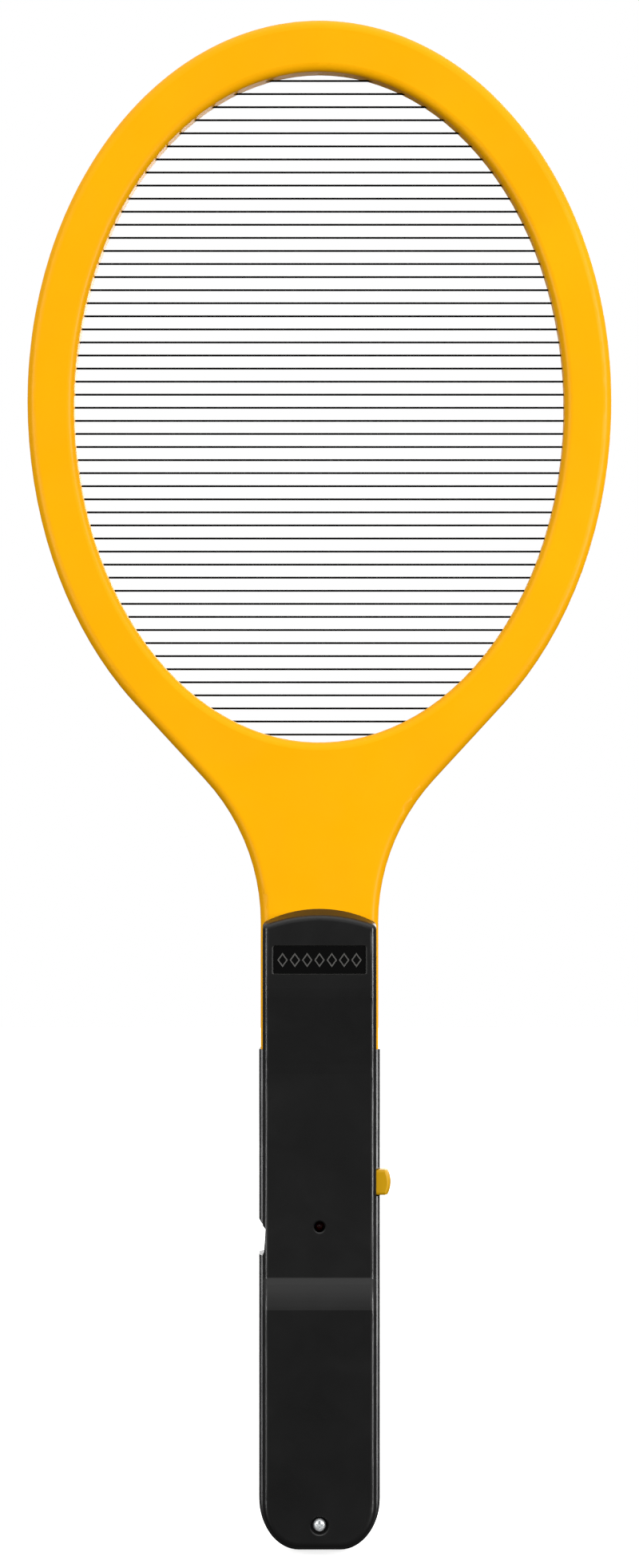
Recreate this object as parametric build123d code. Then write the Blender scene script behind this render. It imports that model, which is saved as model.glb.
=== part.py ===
from build123d import *
import os
from math import atan, cos, degrees, radians, sin, sqrt, tan

# Electric fly swatter, standing upright, in millimetres.
# +Z runs from the butt of the handle to the top of the head, the front faces -Y, and +X is the
# right-hand side of the front. The origin is at the butt of the handle, in the plane where the
# two halves of the head meet.

# ---- driving dimensions -------------------------------------------------------------------
TOTAL_HEIGHT = 500.0

# Head: an ellipse with a lower second half, which a straight throat and a curve join to the neck.
HEAD_HALF_WIDTH = 95.4
HEAD_RISE = 124.3              # centre of the outer ellipse to the top
HEAD_DROP = 127.6              # centre to the foot of the lower half ellipse
HEAD_CENTRE_Z = TOTAL_HEIGHT - HEAD_RISE
THROAT_SLOPE = 0.92            # sideways run of the throat for each millimetre of height
NECK_HALF_WIDTH = 19.2
NECK_CURVE_RADIUS = 69.0
OPENING_HALF_WIDTH = 80.1
OPENING_HALF_HEIGHT = 109.6
OPENING_CENTRE_Z = 373.7
FRAME_DEPTH = 6.5              # of each half
FRAME_WALL = 1.8
FRAME_OUTER_ROUND = 3.0
FRAME_INNER_ROUND = 2.6
SHOULDER_Z = 163.9             # where the neck steps in and the handle's walls begin
TONGUE_HALF_WIDTH = 17.7
TONGUE_FOOT_Z = 148.0

# Grid
WIRE_COUNT = 51
WIRE_RADIUS = 0.33
WIRE_TOP_Z = 480.9
WIRE_PITCH = 4.284
NOTCH_DEPTH = 0.68             # of the wire notches in the rear half's inner wall
WIRE_Y = 0.34
STRIP_FACE_Y = WIRE_Y + WIRE_RADIUS
STRIP_THICKNESS = 0.5
STRIP_INNER = (86.0, 115.5)    # half width and half height of the strip's inner edge
STRIP_OUTER = (89.2, 118.7)
STRIP_SWEEP = 76.0             # degrees above and below the side of the head
STRIP_POST_RADIUS = 1.3
STRIP_POST_ANGLES = (-70, -48, -24, 12, 24, 48, 70)

# What joins the two halves of the frame, and the frame to the handle
PEG_ANGLES = (-145, -35, 0, 35, 62, 90, 118, 145, 180)
THROAT_PEGS = ((-38.0, 262.0), (38.0, 262.0), (0.0, 252.0), (0.0, 212.0))
PEG_RADIUS = 1.1
PEG_LENGTH = 3.0
POST_RADIUS = 2.2
SCREW_BOSS_X, SCREW_BOSS_Z = 11.0, 155.5
BOSS_RADIUS = 3.3
SCREW_HOLE_RADIUS = 1.6
TAB_X, TAB_HALF_WIDTH = 9.0, 2.2
TAB_Z = (199.0, 200.8)
TAB_END_Y = -4.0

# Handle
HANDLE_HALF_WIDTH = 19.8
CORNER_X = 13.0                # the butt's corners are quarter ellipses
CORNER_Z = 17.0
RIM_Y = -6.5                   # where the cover meets the rear shell
BACK_Y = 12.5
SHELL_WALL = 1.8
RIM_DRAFT = 0.75               # how much narrower the rim is than the widest part
RIM_DRAFT_DEPTH = 4.5
LEDGE_WIDTH, LEDGE_FALL = 0.7, 0.3    # the rim's ledge leans outwards a little
BACK_ROUND = 7.0
REAR_TONGUE_TOP_Z = 205.0
COVER_MARGIN = 1.3             # rim left showing around the cover
COVER_HALF_WIDTH = HANDLE_HALF_WIDTH - COVER_MARGIN
COVER_WALL = 1.7
COVER_TOP_Z = 209.8
COVER_FOOT_LIFT = 1.2          # how much wider that margin is at the butt
COVER_ARCH_RADIUS = 40.0
COVER_SKY_Y = -16.5            # a plane in front of the cover that its block is drawn to
COVER_SKY_TOP_Z = 205.4
COVER_SKY_ARCH_RADIUS = 90.0
COVER_EDGE_ROUND = 2.0
COVER_CORNER_ROUND = 2.0
NECK_FACE_Y = -11.7            # the cover's face at its top,
RIDGE_Y, RIDGE_Z = -12.5, 182.6    # at the soft ridge below the nameplate,
WAIST_Y, WAIST_Z = -11.2, 157.8    # at the start of the flat grip,
STEP_TOP_Z, STEP_FOOT_Z = 90.0, 79.9
STEP_BEND_Y, STEP_BEND_Z = -13.95, 84.6   # where the step turns less steep,
BATTERY_FACE_Y = -15.0         # and over the batteries
SKIRT_HALF_WIDTH = 17.8
SKIRT_WALL = 1.5
SKIRT_TOP_Z = 146.0
SKIRT_Y = -3.5

# Details of the cover
PLATE_WIDTH, PLATE_HEIGHT, PLATE_DEPTH = 30.1, 8.9, 0.9
PLATE_LEAN = 0.5                # how far its walls lean out, per millimetre of depth
PLATE_CENTRE_Z = 193.3
PLATE_FACE_Y = -12.25          # the cover's face at the plate's middle
LAMP_Z = 106.5
LAMP_HOLE_RADIUS = 1.8
SCREW_Z = 10.0
SCREW_WELL_RADIUS = 2.9
SCREW_HEAD_TOP_Y = -14.0
SCREW_HEAD_RADIUS = 2.1
SCREW_SEAT_Y = -12.2
COVER_SCREW_HOLE_RADIUS = 1.7
COVER_RIBS_Z = (30.0, 52.0)
WELL_FOOT_Y = -9.1
RECESS_TOP_Z, RECESS_FOOT_Z = 108.3, 96.8    # finger recess in the left side

# Button
BUTTON_Z = 120.5
BUTTON_Y = -2.3
BUTTON_HEIGHT = 8.4
BUTTON_DEPTH = 8.0
BUTTON_TIP_X = 23.3
BUTTON_DOME_RADIUS = 9.0
FLANGE_X = (15.3, 16.7)
STEM_TIP_X = 12.9              # where the button's stem meets the switch's plunger
SLIP = 0.3                     # gap between parts that move past each other
SPRING_WIRE, SPRING_RADIUS, SPRING_TURNS = 0.22, 2.4, 3.5

# Electronics
BOARD_Y = (2.0, 3.6)
BOARD_HALF_WIDTH = 15.5
BOARD_Z = (84.0, 146.0)
BOARD_SCREWS = [(x, z) for x in (-12.8, 12.8) for z in (88.5, 141.5)]
SWITCH_FACE_X = 11.2
PLUNGER_RADIUS = 1.4
TRANSFORMER_X = (-12.0, 2.0)
TRANSFORMER_Z = (128.0, 140.0)
CORE_Y = (-6.5, -0.5)
LEG_HALF = 1.0                 # half of the core's middle leg
LEG_RADIUS = 0.3               # of the components' wire legs
LEAD_RADIUS = 0.7

# Batteries: two AA cells
CELL_RADIUS = 7.25
CELL_LENGTH = 49.5             # without the positive cap
CAP_RADIUS, CAP_HEIGHT = 2.7, 1.0
CELL_X = 7.5
CELL_Y = -1.5
CONTACT_LOW_Z = 14.3
CONTACT_HIGH_Z = 69.6
CONTACT_THICKNESS = 0.4
RIB_THICKNESS = 1.5
LEFT_FOOT_Z = CONTACT_HIGH_Z - CONTACT_THICKNESS - CELL_LENGTH - CAP_HEIGHT
RIGHT_FOOT_Z = CONTACT_LOW_Z + CONTACT_THICKNESS
COIL_WIRE = 0.35
COIL_RADIUS = 3.2


# ---- helpers ------------------------------------------------------------------------------
def slab(face, y_from, y_to):
    """A face drawn in X and Z, given depth from y_from to y_to."""
    placed = Plane.XZ.offset(-y_from) * face
    return extrude(placed, amount=y_to - y_from, dir=(0, 1, 0))


def block(x, y, z):
    """A box from three (low, high) pairs."""
    size = [high - low for low, high in (x, y, z)]
    middle = [(high + low) / 2 for low, high in (x, y, z)]
    return Pos(*middle) * Box(*size)


def rod(radius, start, end):
    """A cylinder between two points."""
    axis = Vector(end) - Vector(start)
    place = Plane(origin=start, z_dir=axis)
    return place * Cylinder(radius, axis.length, align=(Align.CENTER, Align.CENTER, Align.MIN))


def both_sides(edges):
    """A closed face from the edges of its right half."""
    return make_face(edges + [mirror(edge, about=Plane.YZ) for edge in edges])


def joined(pieces):
    """One shape from a list of pieces that touch or overlap."""
    return pieces[0] + pieces[1:]


def save(name, shape):
    """Writes one node."""
    shape.label = name
    export_step(shape, f"parts/{name}.step")


def line(start, end):
    """A straight edge."""
    return Edge.make_line(start, end)


# ---- outlines -----------------------------------------------------------------------------
def frame_face(inset, foot_z):
    """Head, throat, neck and tongue, drawn a wall's thickness smaller by inset."""
    half_width = HEAD_HALF_WIDTH - inset
    rise = HEAD_RISE - inset
    drop = HEAD_DROP - inset
    neck = NECK_HALF_WIDTH - inset
    tongue = TONGUE_HALF_WIDTH - inset
    shoulder_z = SHOULDER_Z + inset
    curve = NECK_CURVE_RADIUS + inset
    slant = atan(THROAT_SLOPE)
    touch = atan(THROAT_SLOPE * drop / half_width)
    touch_x = half_width * cos(touch)
    touch_z = HEAD_CENTRE_Z - drop * sin(touch)
    curve_x = neck + curve * (1 - cos(slant))
    curve_z = touch_z - (touch_x - curve_x) / THROAT_SLOPE
    neck_z = curve_z - curve * sin(slant)
    centre = (0, HEAD_CENTRE_Z)
    top = EllipticalCenterArc(centre, half_width, rise, 0, arc_size=90)
    side = EllipticalCenterArc(centre, half_width, drop, -degrees(touch), arc_size=degrees(touch))
    bend = CenterArc((neck + curve, neck_z), curve, 180 - degrees(slant), degrees(slant))
    edges = [
        top.edge(),
        side.edge(),
        line(side @ 0, bend @ 0),
        bend.edge(),
        line(bend @ 1, (neck, shoulder_z)),
        line((neck, shoulder_z), (tongue, shoulder_z)),
        line((tongue, shoulder_z), (tongue, foot_z)),
        line((tongue, foot_z), (0, foot_z)),
    ]
    return both_sides(edges)


def opening_face(grow):
    """The oval that the grid spans."""
    oval = Ellipse(OPENING_HALF_WIDTH + grow, OPENING_HALF_HEIGHT + grow)
    return Pos(0, OPENING_CENTRE_Z) * oval


def handle_edges(inset, top_z, lift=0.0):
    """Right half of the handle's outline, from the butt, raised by lift, up its straight side."""
    half_width = HANDLE_HALF_WIDTH - inset
    corner_x = CORNER_X - inset
    corner_z = CORNER_Z - inset - lift
    corner = EllipticalCenterArc(
        (half_width - corner_x, CORNER_Z), corner_x, corner_z, -90, arc_size=90
    )
    foot = line((0, inset + lift), corner @ 0)
    return [foot, corner.edge(), line(corner @ 1, (half_width, top_z))]


def handle_face(inset, top_z):
    """The handle's outline with a flat top."""
    half_width = HANDLE_HALF_WIDTH - inset
    return both_sides(handle_edges(inset, top_z) + [line((half_width, top_z), (0, top_z))])


def arched_face(inset, apex_z, arch_radius, lift=0.0):
    """The handle's outline with an arched top."""
    half_width = HANDLE_HALF_WIDTH - inset
    side_top_z = apex_z - arch_radius + sqrt(arch_radius**2 - half_width**2)
    middle_x = half_width / 2
    middle_z = apex_z - arch_radius + sqrt(arch_radius**2 - middle_x**2)
    arch = ThreePointArc((half_width, side_top_z), (middle_x, middle_z), (0, apex_z))
    return both_sides(handle_edges(inset, side_top_z, lift) + [arch.edge()])


def profile_block(points, radii, y_behind):
    """Everything behind a line drawn in Y and Z, from the foot up, across the whole handle."""
    reach = 25.0
    front = FilletPolyline(*points, radius=radii)
    ends = [(y_behind, points[-1][1]), (y_behind, points[0][1]), points[0]]
    back = Polyline(points[-1], *ends)
    face = Plane.YZ.offset(-reach) * make_face(front.edges() + back.edges())
    return extrude(face, amount=2 * reach, dir=(1, 0, 0))


# ---- frame --------------------------------------------------------------------------------
def frame_blank():
    """The front half's shell: face, outer wall and the wall round the opening."""
    solid = slab(frame_face(0, TONGUE_FOOT_Z), -FRAME_DEPTH, 0)
    solid -= slab(opening_face(0), -FRAME_DEPTH, 0)
    front = solid.faces().sort_by(Axis.Y)[0]
    rim = front.outer_wire().edges().filter_by(lambda edge: edge.center().Z > SHOULDER_Z + 1)
    solid = fillet(rim, FRAME_OUTER_ROUND)
    front = solid.faces().sort_by(Axis.Y)[0]
    solid = fillet(front.inner_wires()[0].edges(), FRAME_INNER_ROUND)
    channel = slab(frame_face(FRAME_WALL, TONGUE_FOOT_Z - 5), FRAME_WALL - FRAME_DEPTH, 0)
    channel -= slab(opening_face(FRAME_WALL), FRAME_WALL - FRAME_DEPTH, 0)
    return solid - channel


def peg_places():
    """Where the pegs stand that join the two halves of the frame."""
    places = list(THROAT_PEGS)
    for angle in PEG_ANGLES:
        across = (HEAD_HALF_WIDTH - FRAME_WALL - 2.0) * cos(radians(angle))
        up = HEAD_RISE if angle > 0 else HEAD_DROP
        places.append((across, HEAD_CENTRE_Z + (up - FRAME_WALL - 2.0) * sin(radians(angle))))
    return places


def stretch_pegs(radius, y_from, y_to):
    """A rod at every peg's place."""
    return [rod(radius, (x, y_from, z), (x, y_to, z)) for x, z in peg_places()]


def screw_places():
    """Where the two screws hold the frame's tongue to the rear shell."""
    return [(-SCREW_BOSS_X, SCREW_BOSS_Z), (SCREW_BOSS_X, SCREW_BOSS_Z)]


def tab_slots():
    """Slots in the neck's face for the two tabs of the cover."""
    low_z, high_z = TAB_Z[0] - 0.7, TAB_Z[1] + 0.6
    half = TAB_HALF_WIDTH + 0.4
    skin = (-FRAME_DEPTH - 1, FRAME_WALL - FRAME_DEPTH + 0.5)
    return [block((x - half, x + half), skin, (low_z, high_z)) for x in (-TAB_X, TAB_X)]


def tongue_bosses(y_from, y_to):
    """The bosses that the tongue's screws pass through."""
    return [rod(BOSS_RADIUS, (x, y_from, z), (x, y_to, z)) for x, z in screw_places()]


def tongue_holes(y_from, y_to):
    """Clearance holes for the tongue's screws."""
    return [rod(SCREW_HOLE_RADIUS, (x, y_from, z), (x, y_to, z)) for x, z in screw_places()]


def frame_front_half():
    """The front half, with the pegs that plug into the rear half."""
    skin_y = FRAME_WALL - FRAME_DEPTH
    posts = stretch_pegs(POST_RADIUS, skin_y - 0.5, 0)
    pegs = stretch_pegs(PEG_RADIUS, -0.5, PEG_LENGTH)
    solid = joined([frame_blank()] + posts + pegs + tongue_bosses(skin_y - 0.5, 0))
    return solid - (tab_slots() + tongue_holes(-FRAME_DEPTH - 1, 1))


def wire_heights():
    """The height of every wire, from the top down."""
    return [WIRE_TOP_Z - WIRE_PITCH * number for number in range(WIRE_COUNT)]


def wire_notches():
    """Square notches across the inner wall of the rear half, one for each wire."""
    half = NOTCH_DEPTH / 2
    reach = OPENING_HALF_WIDTH + FRAME_WALL + 0.6
    notches = []
    for z in wire_heights():
        notches.append(block((-reach, reach), (-1, NOTCH_DEPTH), (z - half, z + half)))
    return notches


def strip_posts():
    """Posts that hold the strips up under the wires."""
    posts = []
    across = (STRIP_INNER[0] + STRIP_OUTER[0]) / 2
    up = (STRIP_INNER[1] + STRIP_OUTER[1]) / 2
    floor_y = FRAME_DEPTH - FRAME_WALL + 0.5
    for angle in STRIP_POST_ANGLES:
        for side in (-1, 1):
            x = side * across * cos(radians(angle))
            z = OPENING_CENTRE_Z + up * sin(radians(angle))
            top_y = STRIP_FACE_Y + STRIP_THICKNESS
            posts.append(rod(STRIP_POST_RADIUS, (x, top_y, z), (x, floor_y, z)))
    return posts


def frame_rear_half():
    """The rear half, with the wires' notches and the posts under the strips."""
    floor_y = FRAME_DEPTH - FRAME_WALL + 0.5
    solid = mirror(frame_blank(), about=Plane.XZ)
    posts = stretch_pegs(POST_RADIUS, 0, floor_y) + strip_posts() + tongue_bosses(0, floor_y)
    solid = joined([solid] + posts)
    holes = stretch_pegs(PEG_RADIUS + 0.1, -1, PEG_LENGTH + 0.4)
    holes += tongue_holes(-1, FRAME_DEPTH + 1)
    return solid - (holes + wire_notches())


# ---- grid ---------------------------------------------------------------------------------
def oval_reach(half_width, half_height, z):
    """How far an oval round the opening's centre reaches sideways at a height."""
    return half_width * sqrt(1 - ((z - OPENING_CENTRE_Z) / half_height) ** 2)


def grid_wires(first, live_side):
    """Every second wire. One end lies on its own strip, the other stops inside the far wall."""
    wires = []
    strip_middle = [(inner + outer) / 2 for inner, outer in zip(STRIP_INNER, STRIP_OUTER)]
    far_oval = (OPENING_HALF_WIDTH + FRAME_WALL + 1.2, OPENING_HALF_HEIGHT + FRAME_WALL + 1.2)
    for z in wire_heights()[first::2]:
        near_x = live_side * oval_reach(*strip_middle, z)
        far_x = -live_side * oval_reach(*far_oval, z)
        wires.append(rod(WIRE_RADIUS, (near_x, WIRE_Y, z), (far_x, WIRE_Y, z)))
    return Compound(children=wires)


def bus_strip(side):
    """A flat curved band inside the rim, which every second wire is joined to."""
    band = Ellipse(*STRIP_OUTER) - Ellipse(*STRIP_INNER)
    reach = 200.0
    half_gap = radians(90 - STRIP_SWEEP)
    slope = 1 / tan(half_gap)
    top = (side * reach, reach * slope)
    wedge = make_face(Polyline((0, 0), top, (side * reach, -reach * slope), close=True))
    part = Pos(0, OPENING_CENTRE_Z) * (band & wedge)
    return slab(part, STRIP_FACE_Y, STRIP_FACE_Y + STRIP_THICKNESS)


# ---- front cover --------------------------------------------------------------------------
def cover_block(inset):
    """The cover's solid shape, or the space inside it when it is inset by the wall."""
    margin = COVER_MARGIN + inset
    arch_radius = COVER_ARCH_RADIUS - inset
    base = arched_face(margin, COVER_TOP_Z - inset, arch_radius, COVER_FOOT_LIFT)
    sky = arched_face(margin, COVER_SKY_TOP_Z - inset, COVER_SKY_ARCH_RADIUS, COVER_FOOT_LIFT)
    base_face = Plane.XZ.offset(-RIM_Y) * base
    sky_face = Plane.XZ.offset(-COVER_SKY_Y) * sky
    solid = loft([base_face, sky_face], ruled=True)
    below = -5.0
    above = 215.0
    face = [
        (BATTERY_FACE_Y + inset, below),
        (BATTERY_FACE_Y + inset, STEP_FOOT_Z - inset / 2),
        (STEP_BEND_Y + inset, STEP_BEND_Z - inset / 2),
        (WAIST_Y + inset, STEP_TOP_Z - inset / 2),
        (WAIST_Y + inset, WAIST_Z),
        (RIDGE_Y + inset, RIDGE_Z),
        (NECK_FACE_Y + inset, above),
    ]
    return solid & profile_block(face, [1.0, 30.0, 1.0, 60.0, 40.0], RIM_Y + 5)


def rounded_cover():
    """The solid shape with its top corners and its long front edges rounded."""
    solid = cover_block(0)
    corners = [
        edge for edge in solid.edges()
        if edge.center().Z > COVER_SKY_TOP_Z - 5 and abs(edge.tangent_at(0.5).Y) > 0.9
        and abs(edge.center().X) > COVER_HALF_WIDTH - 0.1
    ]
    solid = fillet(corners, COVER_CORNER_ROUND)
    long_edges = []
    for edge in solid.edges():
        middle = edge.center()
        along = abs(edge.tangent_at(0.5).Z) > 0.5 and abs(middle.X) > COVER_HALF_WIDTH - 0.1
        around_butt = middle.Z < CORNER_Z and abs(edge.tangent_at(0.5).Y) < 0.1
        if middle.Y < RIM_Y - 2 and (along or around_butt):
            long_edges.append(edge)
    return fillet(long_edges, COVER_EDGE_ROUND)


def skirt():
    """The lip that laps inside the rear shell's walls, open at its top end."""
    inset = HANDLE_HALF_WIDTH - SKIRT_HALF_WIDTH
    ring = handle_face(inset, SKIRT_TOP_Z) - handle_face(inset + SKIRT_WALL, SKIRT_TOP_Z + 5)
    lip = slab(ring, RIM_Y - 1, SKIRT_Y)
    button_gap = (BUTTON_Z - 7.2, BUTTON_Z + 7.2)
    recess_gap = (RECESS_FOOT_Z - 2.6, RECESS_TOP_Z + 2.6)
    return lip - [
        block((SKIRT_HALF_WIDTH - 3, 20), (RIM_Y, 0), button_gap),
        block((-20, 3 - SKIRT_HALF_WIDTH), (RIM_Y, 0), recess_gap),
    ]


def plate_ornament():
    """A row of raised outlined diamonds on the floor of the nameplate recess."""
    height, width, stroke, spacing = 4.7, 3.4, 0.5, 4.0
    outer = Polyline((width / 2, 0), (0, height / 2), (-width / 2, 0), (0, -height / 2), close=True)
    diamond = make_face(outer)
    ring = diamond - scale(diamond, by=1 - 2 * stroke / width)
    floor_y = PLATE_FACE_Y + PLATE_DEPTH
    raised = []
    for number in range(-3, 4):
        placed = Pos(number * spacing, PLATE_CENTRE_Z) * ring
        raised.append(slab(placed, floor_y - 0.45, floor_y + 0.2))
    return raised


def plate_recess():
    """What is cut for the nameplate: a flat floor inside walls that lean outwards."""
    floor_y = PLATE_FACE_Y + PLATE_DEPTH
    sections = []
    for height in (0.0, PLATE_DEPTH + 1.5):
        reach = PLATE_LEAN * height
        outline = RectangleRounded(PLATE_WIDTH + 2 * reach, PLATE_HEIGHT + 2 * reach, 0.5 + reach)
        sections.append(Plane.XZ.offset(height - floor_y) * Pos(0, PLATE_CENTRE_Z) * outline)
    return loft(sections, ruled=True)


def finger_scoop(depth_x, foot_x):
    """What is cut from the left side for a fingertip: slanted above, square below."""
    outside = -HANDLE_HALF_WIDTH - 2
    points = [
        (outside, RECESS_TOP_Z + 2.4),
        (-depth_x, RECESS_TOP_Z - 2.6),
        (-foot_x, RECESS_FOOT_Z + 0.9),
        (-foot_x - 0.7, RECESS_FOOT_Z),
        (outside, RECESS_FOOT_Z),
    ]
    return slab(make_face(Polyline(*points, close=True)), BATTERY_FACE_Y - 5, BACK_Y + 5)


def cover_insides():
    """What stands on the cover's inner face: the screw's well, two stiffening ribs and the tabs."""
    well_start = (0, BATTERY_FACE_Y + 0.6, SCREW_Z)
    pieces = [rod(SCREW_WELL_RADIUS + 1.5, well_start, (0, WELL_FOOT_Y, SCREW_Z))]
    half = RIB_THICKNESS / 2
    for z in COVER_RIBS_Z:
        pieces.append(block((-15, 15), (BATTERY_FACE_Y + 1, WELL_FOOT_Y), (z - half, z + half)))
    for x in (-TAB_X, TAB_X):
        sides = (x - TAB_HALF_WIDTH, x + TAB_HALF_WIDTH)
        pieces.append(block(sides, (NECK_FACE_Y + 0.8, TAB_END_Y), TAB_Z))
    return pieces


def cover_holes():
    """The nameplate's recess, the lamp's hole, the screw's well and hole, and the scoop."""
    seat = (0, SCREW_SEAT_Y, SCREW_Z)
    return [
        plate_recess(),
        rod(LAMP_HOLE_RADIUS, (0, WAIST_Y - 3, LAMP_Z), (0, WAIST_Y + 3, LAMP_Z)),
        rod(SCREW_WELL_RADIUS, (0, BATTERY_FACE_Y - 1, SCREW_Z), seat),
        rod(COVER_SCREW_HOLE_RADIUS, seat, (0, WELL_FOOT_Y + 1, SCREW_Z)),
        finger_scoop(17.6, 18.1),
    ]


def front_cover():
    """The long front of the handle."""
    shell = rounded_cover() - cover_block(COVER_WALL)
    shell = joined([shell, skirt()] + cover_insides()) - cover_holes()
    for centre in ((0, WAIST_Y, LAMP_Z), (0, BATTERY_FACE_Y, SCREW_Z)):
        mouth = shell.edges().filter_by(GeomType.CIRCLE).sort_by_distance(centre)[0]
        shell = chamfer(mouth, 0.4)
    return joined([shell] + plate_ornament())


# ---- rear shell ---------------------------------------------------------------------------
def tub_block():
    """The handle's back half as a solid: drafted rim, straight walls, rounded back."""
    widest_y = RIM_Y + RIM_DRAFT_DEPTH
    outlines = [
        (RIM_Y, RIM_DRAFT + LEDGE_WIDTH),
        (RIM_Y + LEDGE_FALL, RIM_DRAFT),
        (widest_y, 0),
    ]
    sections = [Plane.XZ.offset(-y) * handle_face(inset, SHOULDER_Z) for y, inset in outlines]
    drafted = loft(sections, ruled=True)
    walls = slab(handle_face(0, SHOULDER_Z), widest_y, BACK_Y)
    back = walls.faces().sort_by(Axis.Y)[-1].edges()
    walls = fillet(back.filter_by(lambda edge: edge.center().Z < SHOULDER_Z - 1), BACK_ROUND)
    return drafted + walls


def tub_space():
    """The space inside the tub, open towards the cover and at the top."""
    floor_y = BACK_Y - SHELL_WALL
    space = slab(handle_face(SHELL_WALL, SHOULDER_Z + 5), RIM_Y - 1, floor_y)
    back = space.faces().sort_by(Axis.Y)[-1].edges()
    edges = back.filter_by(lambda edge: edge.center().Z < SHOULDER_Z)
    return fillet(edges, BACK_ROUND - SHELL_WALL)


def rear_tongue():
    """The shell's arched tongue, which lies on the back of the neck, and the space under it."""
    root_z, root_y, tip_y = 150.0, 12.2, 9.6
    face = arched_face(COVER_MARGIN + 0.2, REAR_TONGUE_TOP_Z, COVER_ARCH_RADIUS)
    solid = slab(face, FRAME_DEPTH, root_y)
    slope = [(root_y, root_z), (tip_y, REAR_TONGUE_TOP_Z), (20, REAR_TONGUE_TOP_Z), (20, root_z)]
    wedge = Plane.YZ.offset(-25) * make_face(Polyline(*slope, close=True))
    solid -= extrude(wedge, amount=50, dir=(1, 0, 0))
    solid -= block((-25, 25), (0, 20), (-5, root_z))
    edges = [
        edge for edge in solid.edges()
        if edge.center().Y > FRAME_DEPTH + 2 and edge.center().Z > root_z + 1
        and abs(edge.tangent_at(0.5).Y) < 0.5
    ]
    solid = fillet(edges, 2.4)
    inner = arched_face(COVER_MARGIN + 2.0, REAR_TONGUE_TOP_Z - 1.8, COVER_ARCH_RADIUS)
    hollow = slab(inner, FRAME_DEPTH - 1, tip_y - 1.6)
    return solid, hollow & block((-25, 25), (0, 20), (root_z - 5, 250))


def battery_ribs():
    """Cross ribs under the cells, and the two walls that hold the contacts."""
    cells = [rod(CELL_RADIUS + 0.1, (x, CELL_Y, 0), (x, CELL_Y, 80)) for x in (-CELL_X, CELL_X)]
    half = RIB_THICKNESS / 2
    cradles = [block((-15, 15), (2.0, 11.0), (z - half, z + half)) for z in (20.0, 41.5, 60.0)]
    cradles = [cradle - cells for cradle in cradles]
    low = block((-14.2, 14.2), (-8, 11), (CONTACT_LOW_Z - RIB_THICKNESS, CONTACT_LOW_Z))
    high = block((-15.5, 15.5), (-8, 11), (CONTACT_HIGH_Z, CONTACT_HIGH_Z + RIB_THICKNESS))
    slots = []
    slot_z = (CONTACT_HIGH_Z - 1, CONTACT_HIGH_Z + 3)
    for x in (-CELL_X, CELL_X):
        slots.append(block((x - 1.2, x + 1.2), (-2.3, -1.5), slot_z))
    return [piece for cradle in cradles for piece in cradle.solids()] + [low, high - slots]


def shell_posts():
    """Posts for the board, the tongue's screws and the cover's screw."""
    posts = [rod(2.2, (x, BOARD_Y[1], z), (x, 11, z)) for x, z in BOARD_SCREWS]
    posts += [rod(BOSS_RADIUS, (x, FRAME_DEPTH, z), (x, 11.4, z)) for x, z in screw_places()]
    posts.append(rod(3.4, (0, WELL_FOOT_Y + SLIP, SCREW_Z), (0, 11, SCREW_Z)))
    return posts


def shell_holes():
    """The screws' holes in those posts."""
    holes = [rod(0.9, (x, BOARD_Y[1] - 1, z), (x, 8.5, z)) for x, z in BOARD_SCREWS]
    holes += [rod(1.25, (x, FRAME_DEPTH - 1, z), (x, 11.0, z)) for x, z in screw_places()]
    holes.append(rod(1.8, (0, WELL_FOOT_Y - 1, SCREW_Z), (0, 4, SCREW_Z)))
    return holes


def button_guides():
    """Two short ribs that keep the button's flange in line."""
    guides = []
    for z in (BUTTON_Z - 6.9, BUTTON_Z + 6.9):
        guides.append(block((15.8, 18.4), (-3.0, 9.0), (z - 0.5, z + 0.5)))
    return guides


def rear_shell():
    """The handle's back half."""
    outer = tub_block()
    tongue, hollow = rear_tongue()
    recess_wall = block((-18.6, -15.9), (RIM_Y, 10), (RECESS_FOOT_Z - 1.7, RECESS_TOP_Z + 2.0))
    shell = outer - tub_space()
    shell = joined([shell, tongue - block((-18, 18), (0, 10.7), (100, SHOULDER_Z))])
    shell -= hollow & block((-17, 17), (0, 20), (SHOULDER_Z - 4, 250))
    shell = joined([shell, recess_wall & outer] + battery_ribs() + shell_posts() + button_guides())
    half = BUTTON_HEIGHT / 2 + SLIP
    notch_y = (RIM_Y - 1, BUTTON_Y + BUTTON_DEPTH / 2 + SLIP)
    notch = block((17, 21), notch_y, (BUTTON_Z - half, BUTTON_Z + half))
    return shell - (shell_holes() + [notch, finger_scoop(17.5, 17.5)])


# ---- screws -------------------------------------------------------------------------------
def pan_screw(place, seat_y, head_radius, head_height, shank_radius, length):
    """A domed cross-head screw driven towards +Y."""
    x, z = place
    top_y = seat_y - head_height
    dome_radius = head_radius * 1.35
    head = rod(head_radius, (x, top_y, z), (x, seat_y, z))
    head = head & Pos(x, top_y + dome_radius, z) * Sphere(dome_radius)
    arm, half = head_radius * 0.62, head_radius * 0.17
    depth = (top_y - 1, top_y + head_height * 0.6)
    cross = [
        block((x - arm, x + arm), depth, (z - half, z + half)),
        block((x - half, x + half), depth, (z - arm, z + arm)),
    ]
    return head - cross + rod(shank_radius, (x, seat_y, z), (x, seat_y + length, z))


def cover_screw():
    """The one screw that holds the cover, sunk in its well."""
    height = SCREW_SEAT_Y - SCREW_HEAD_TOP_Y
    return pan_screw((0, SCREW_Z), SCREW_SEAT_Y, SCREW_HEAD_RADIUS, height, 1.45, 12.5)


def tongue_screws():
    """The two screws through the frame's tongue."""
    screws = [pan_screw(place, -FRAME_DEPTH, 2.7, 1.9, 1.2, 17.2) for place in screw_places()]
    return Compound(children=screws)


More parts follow.
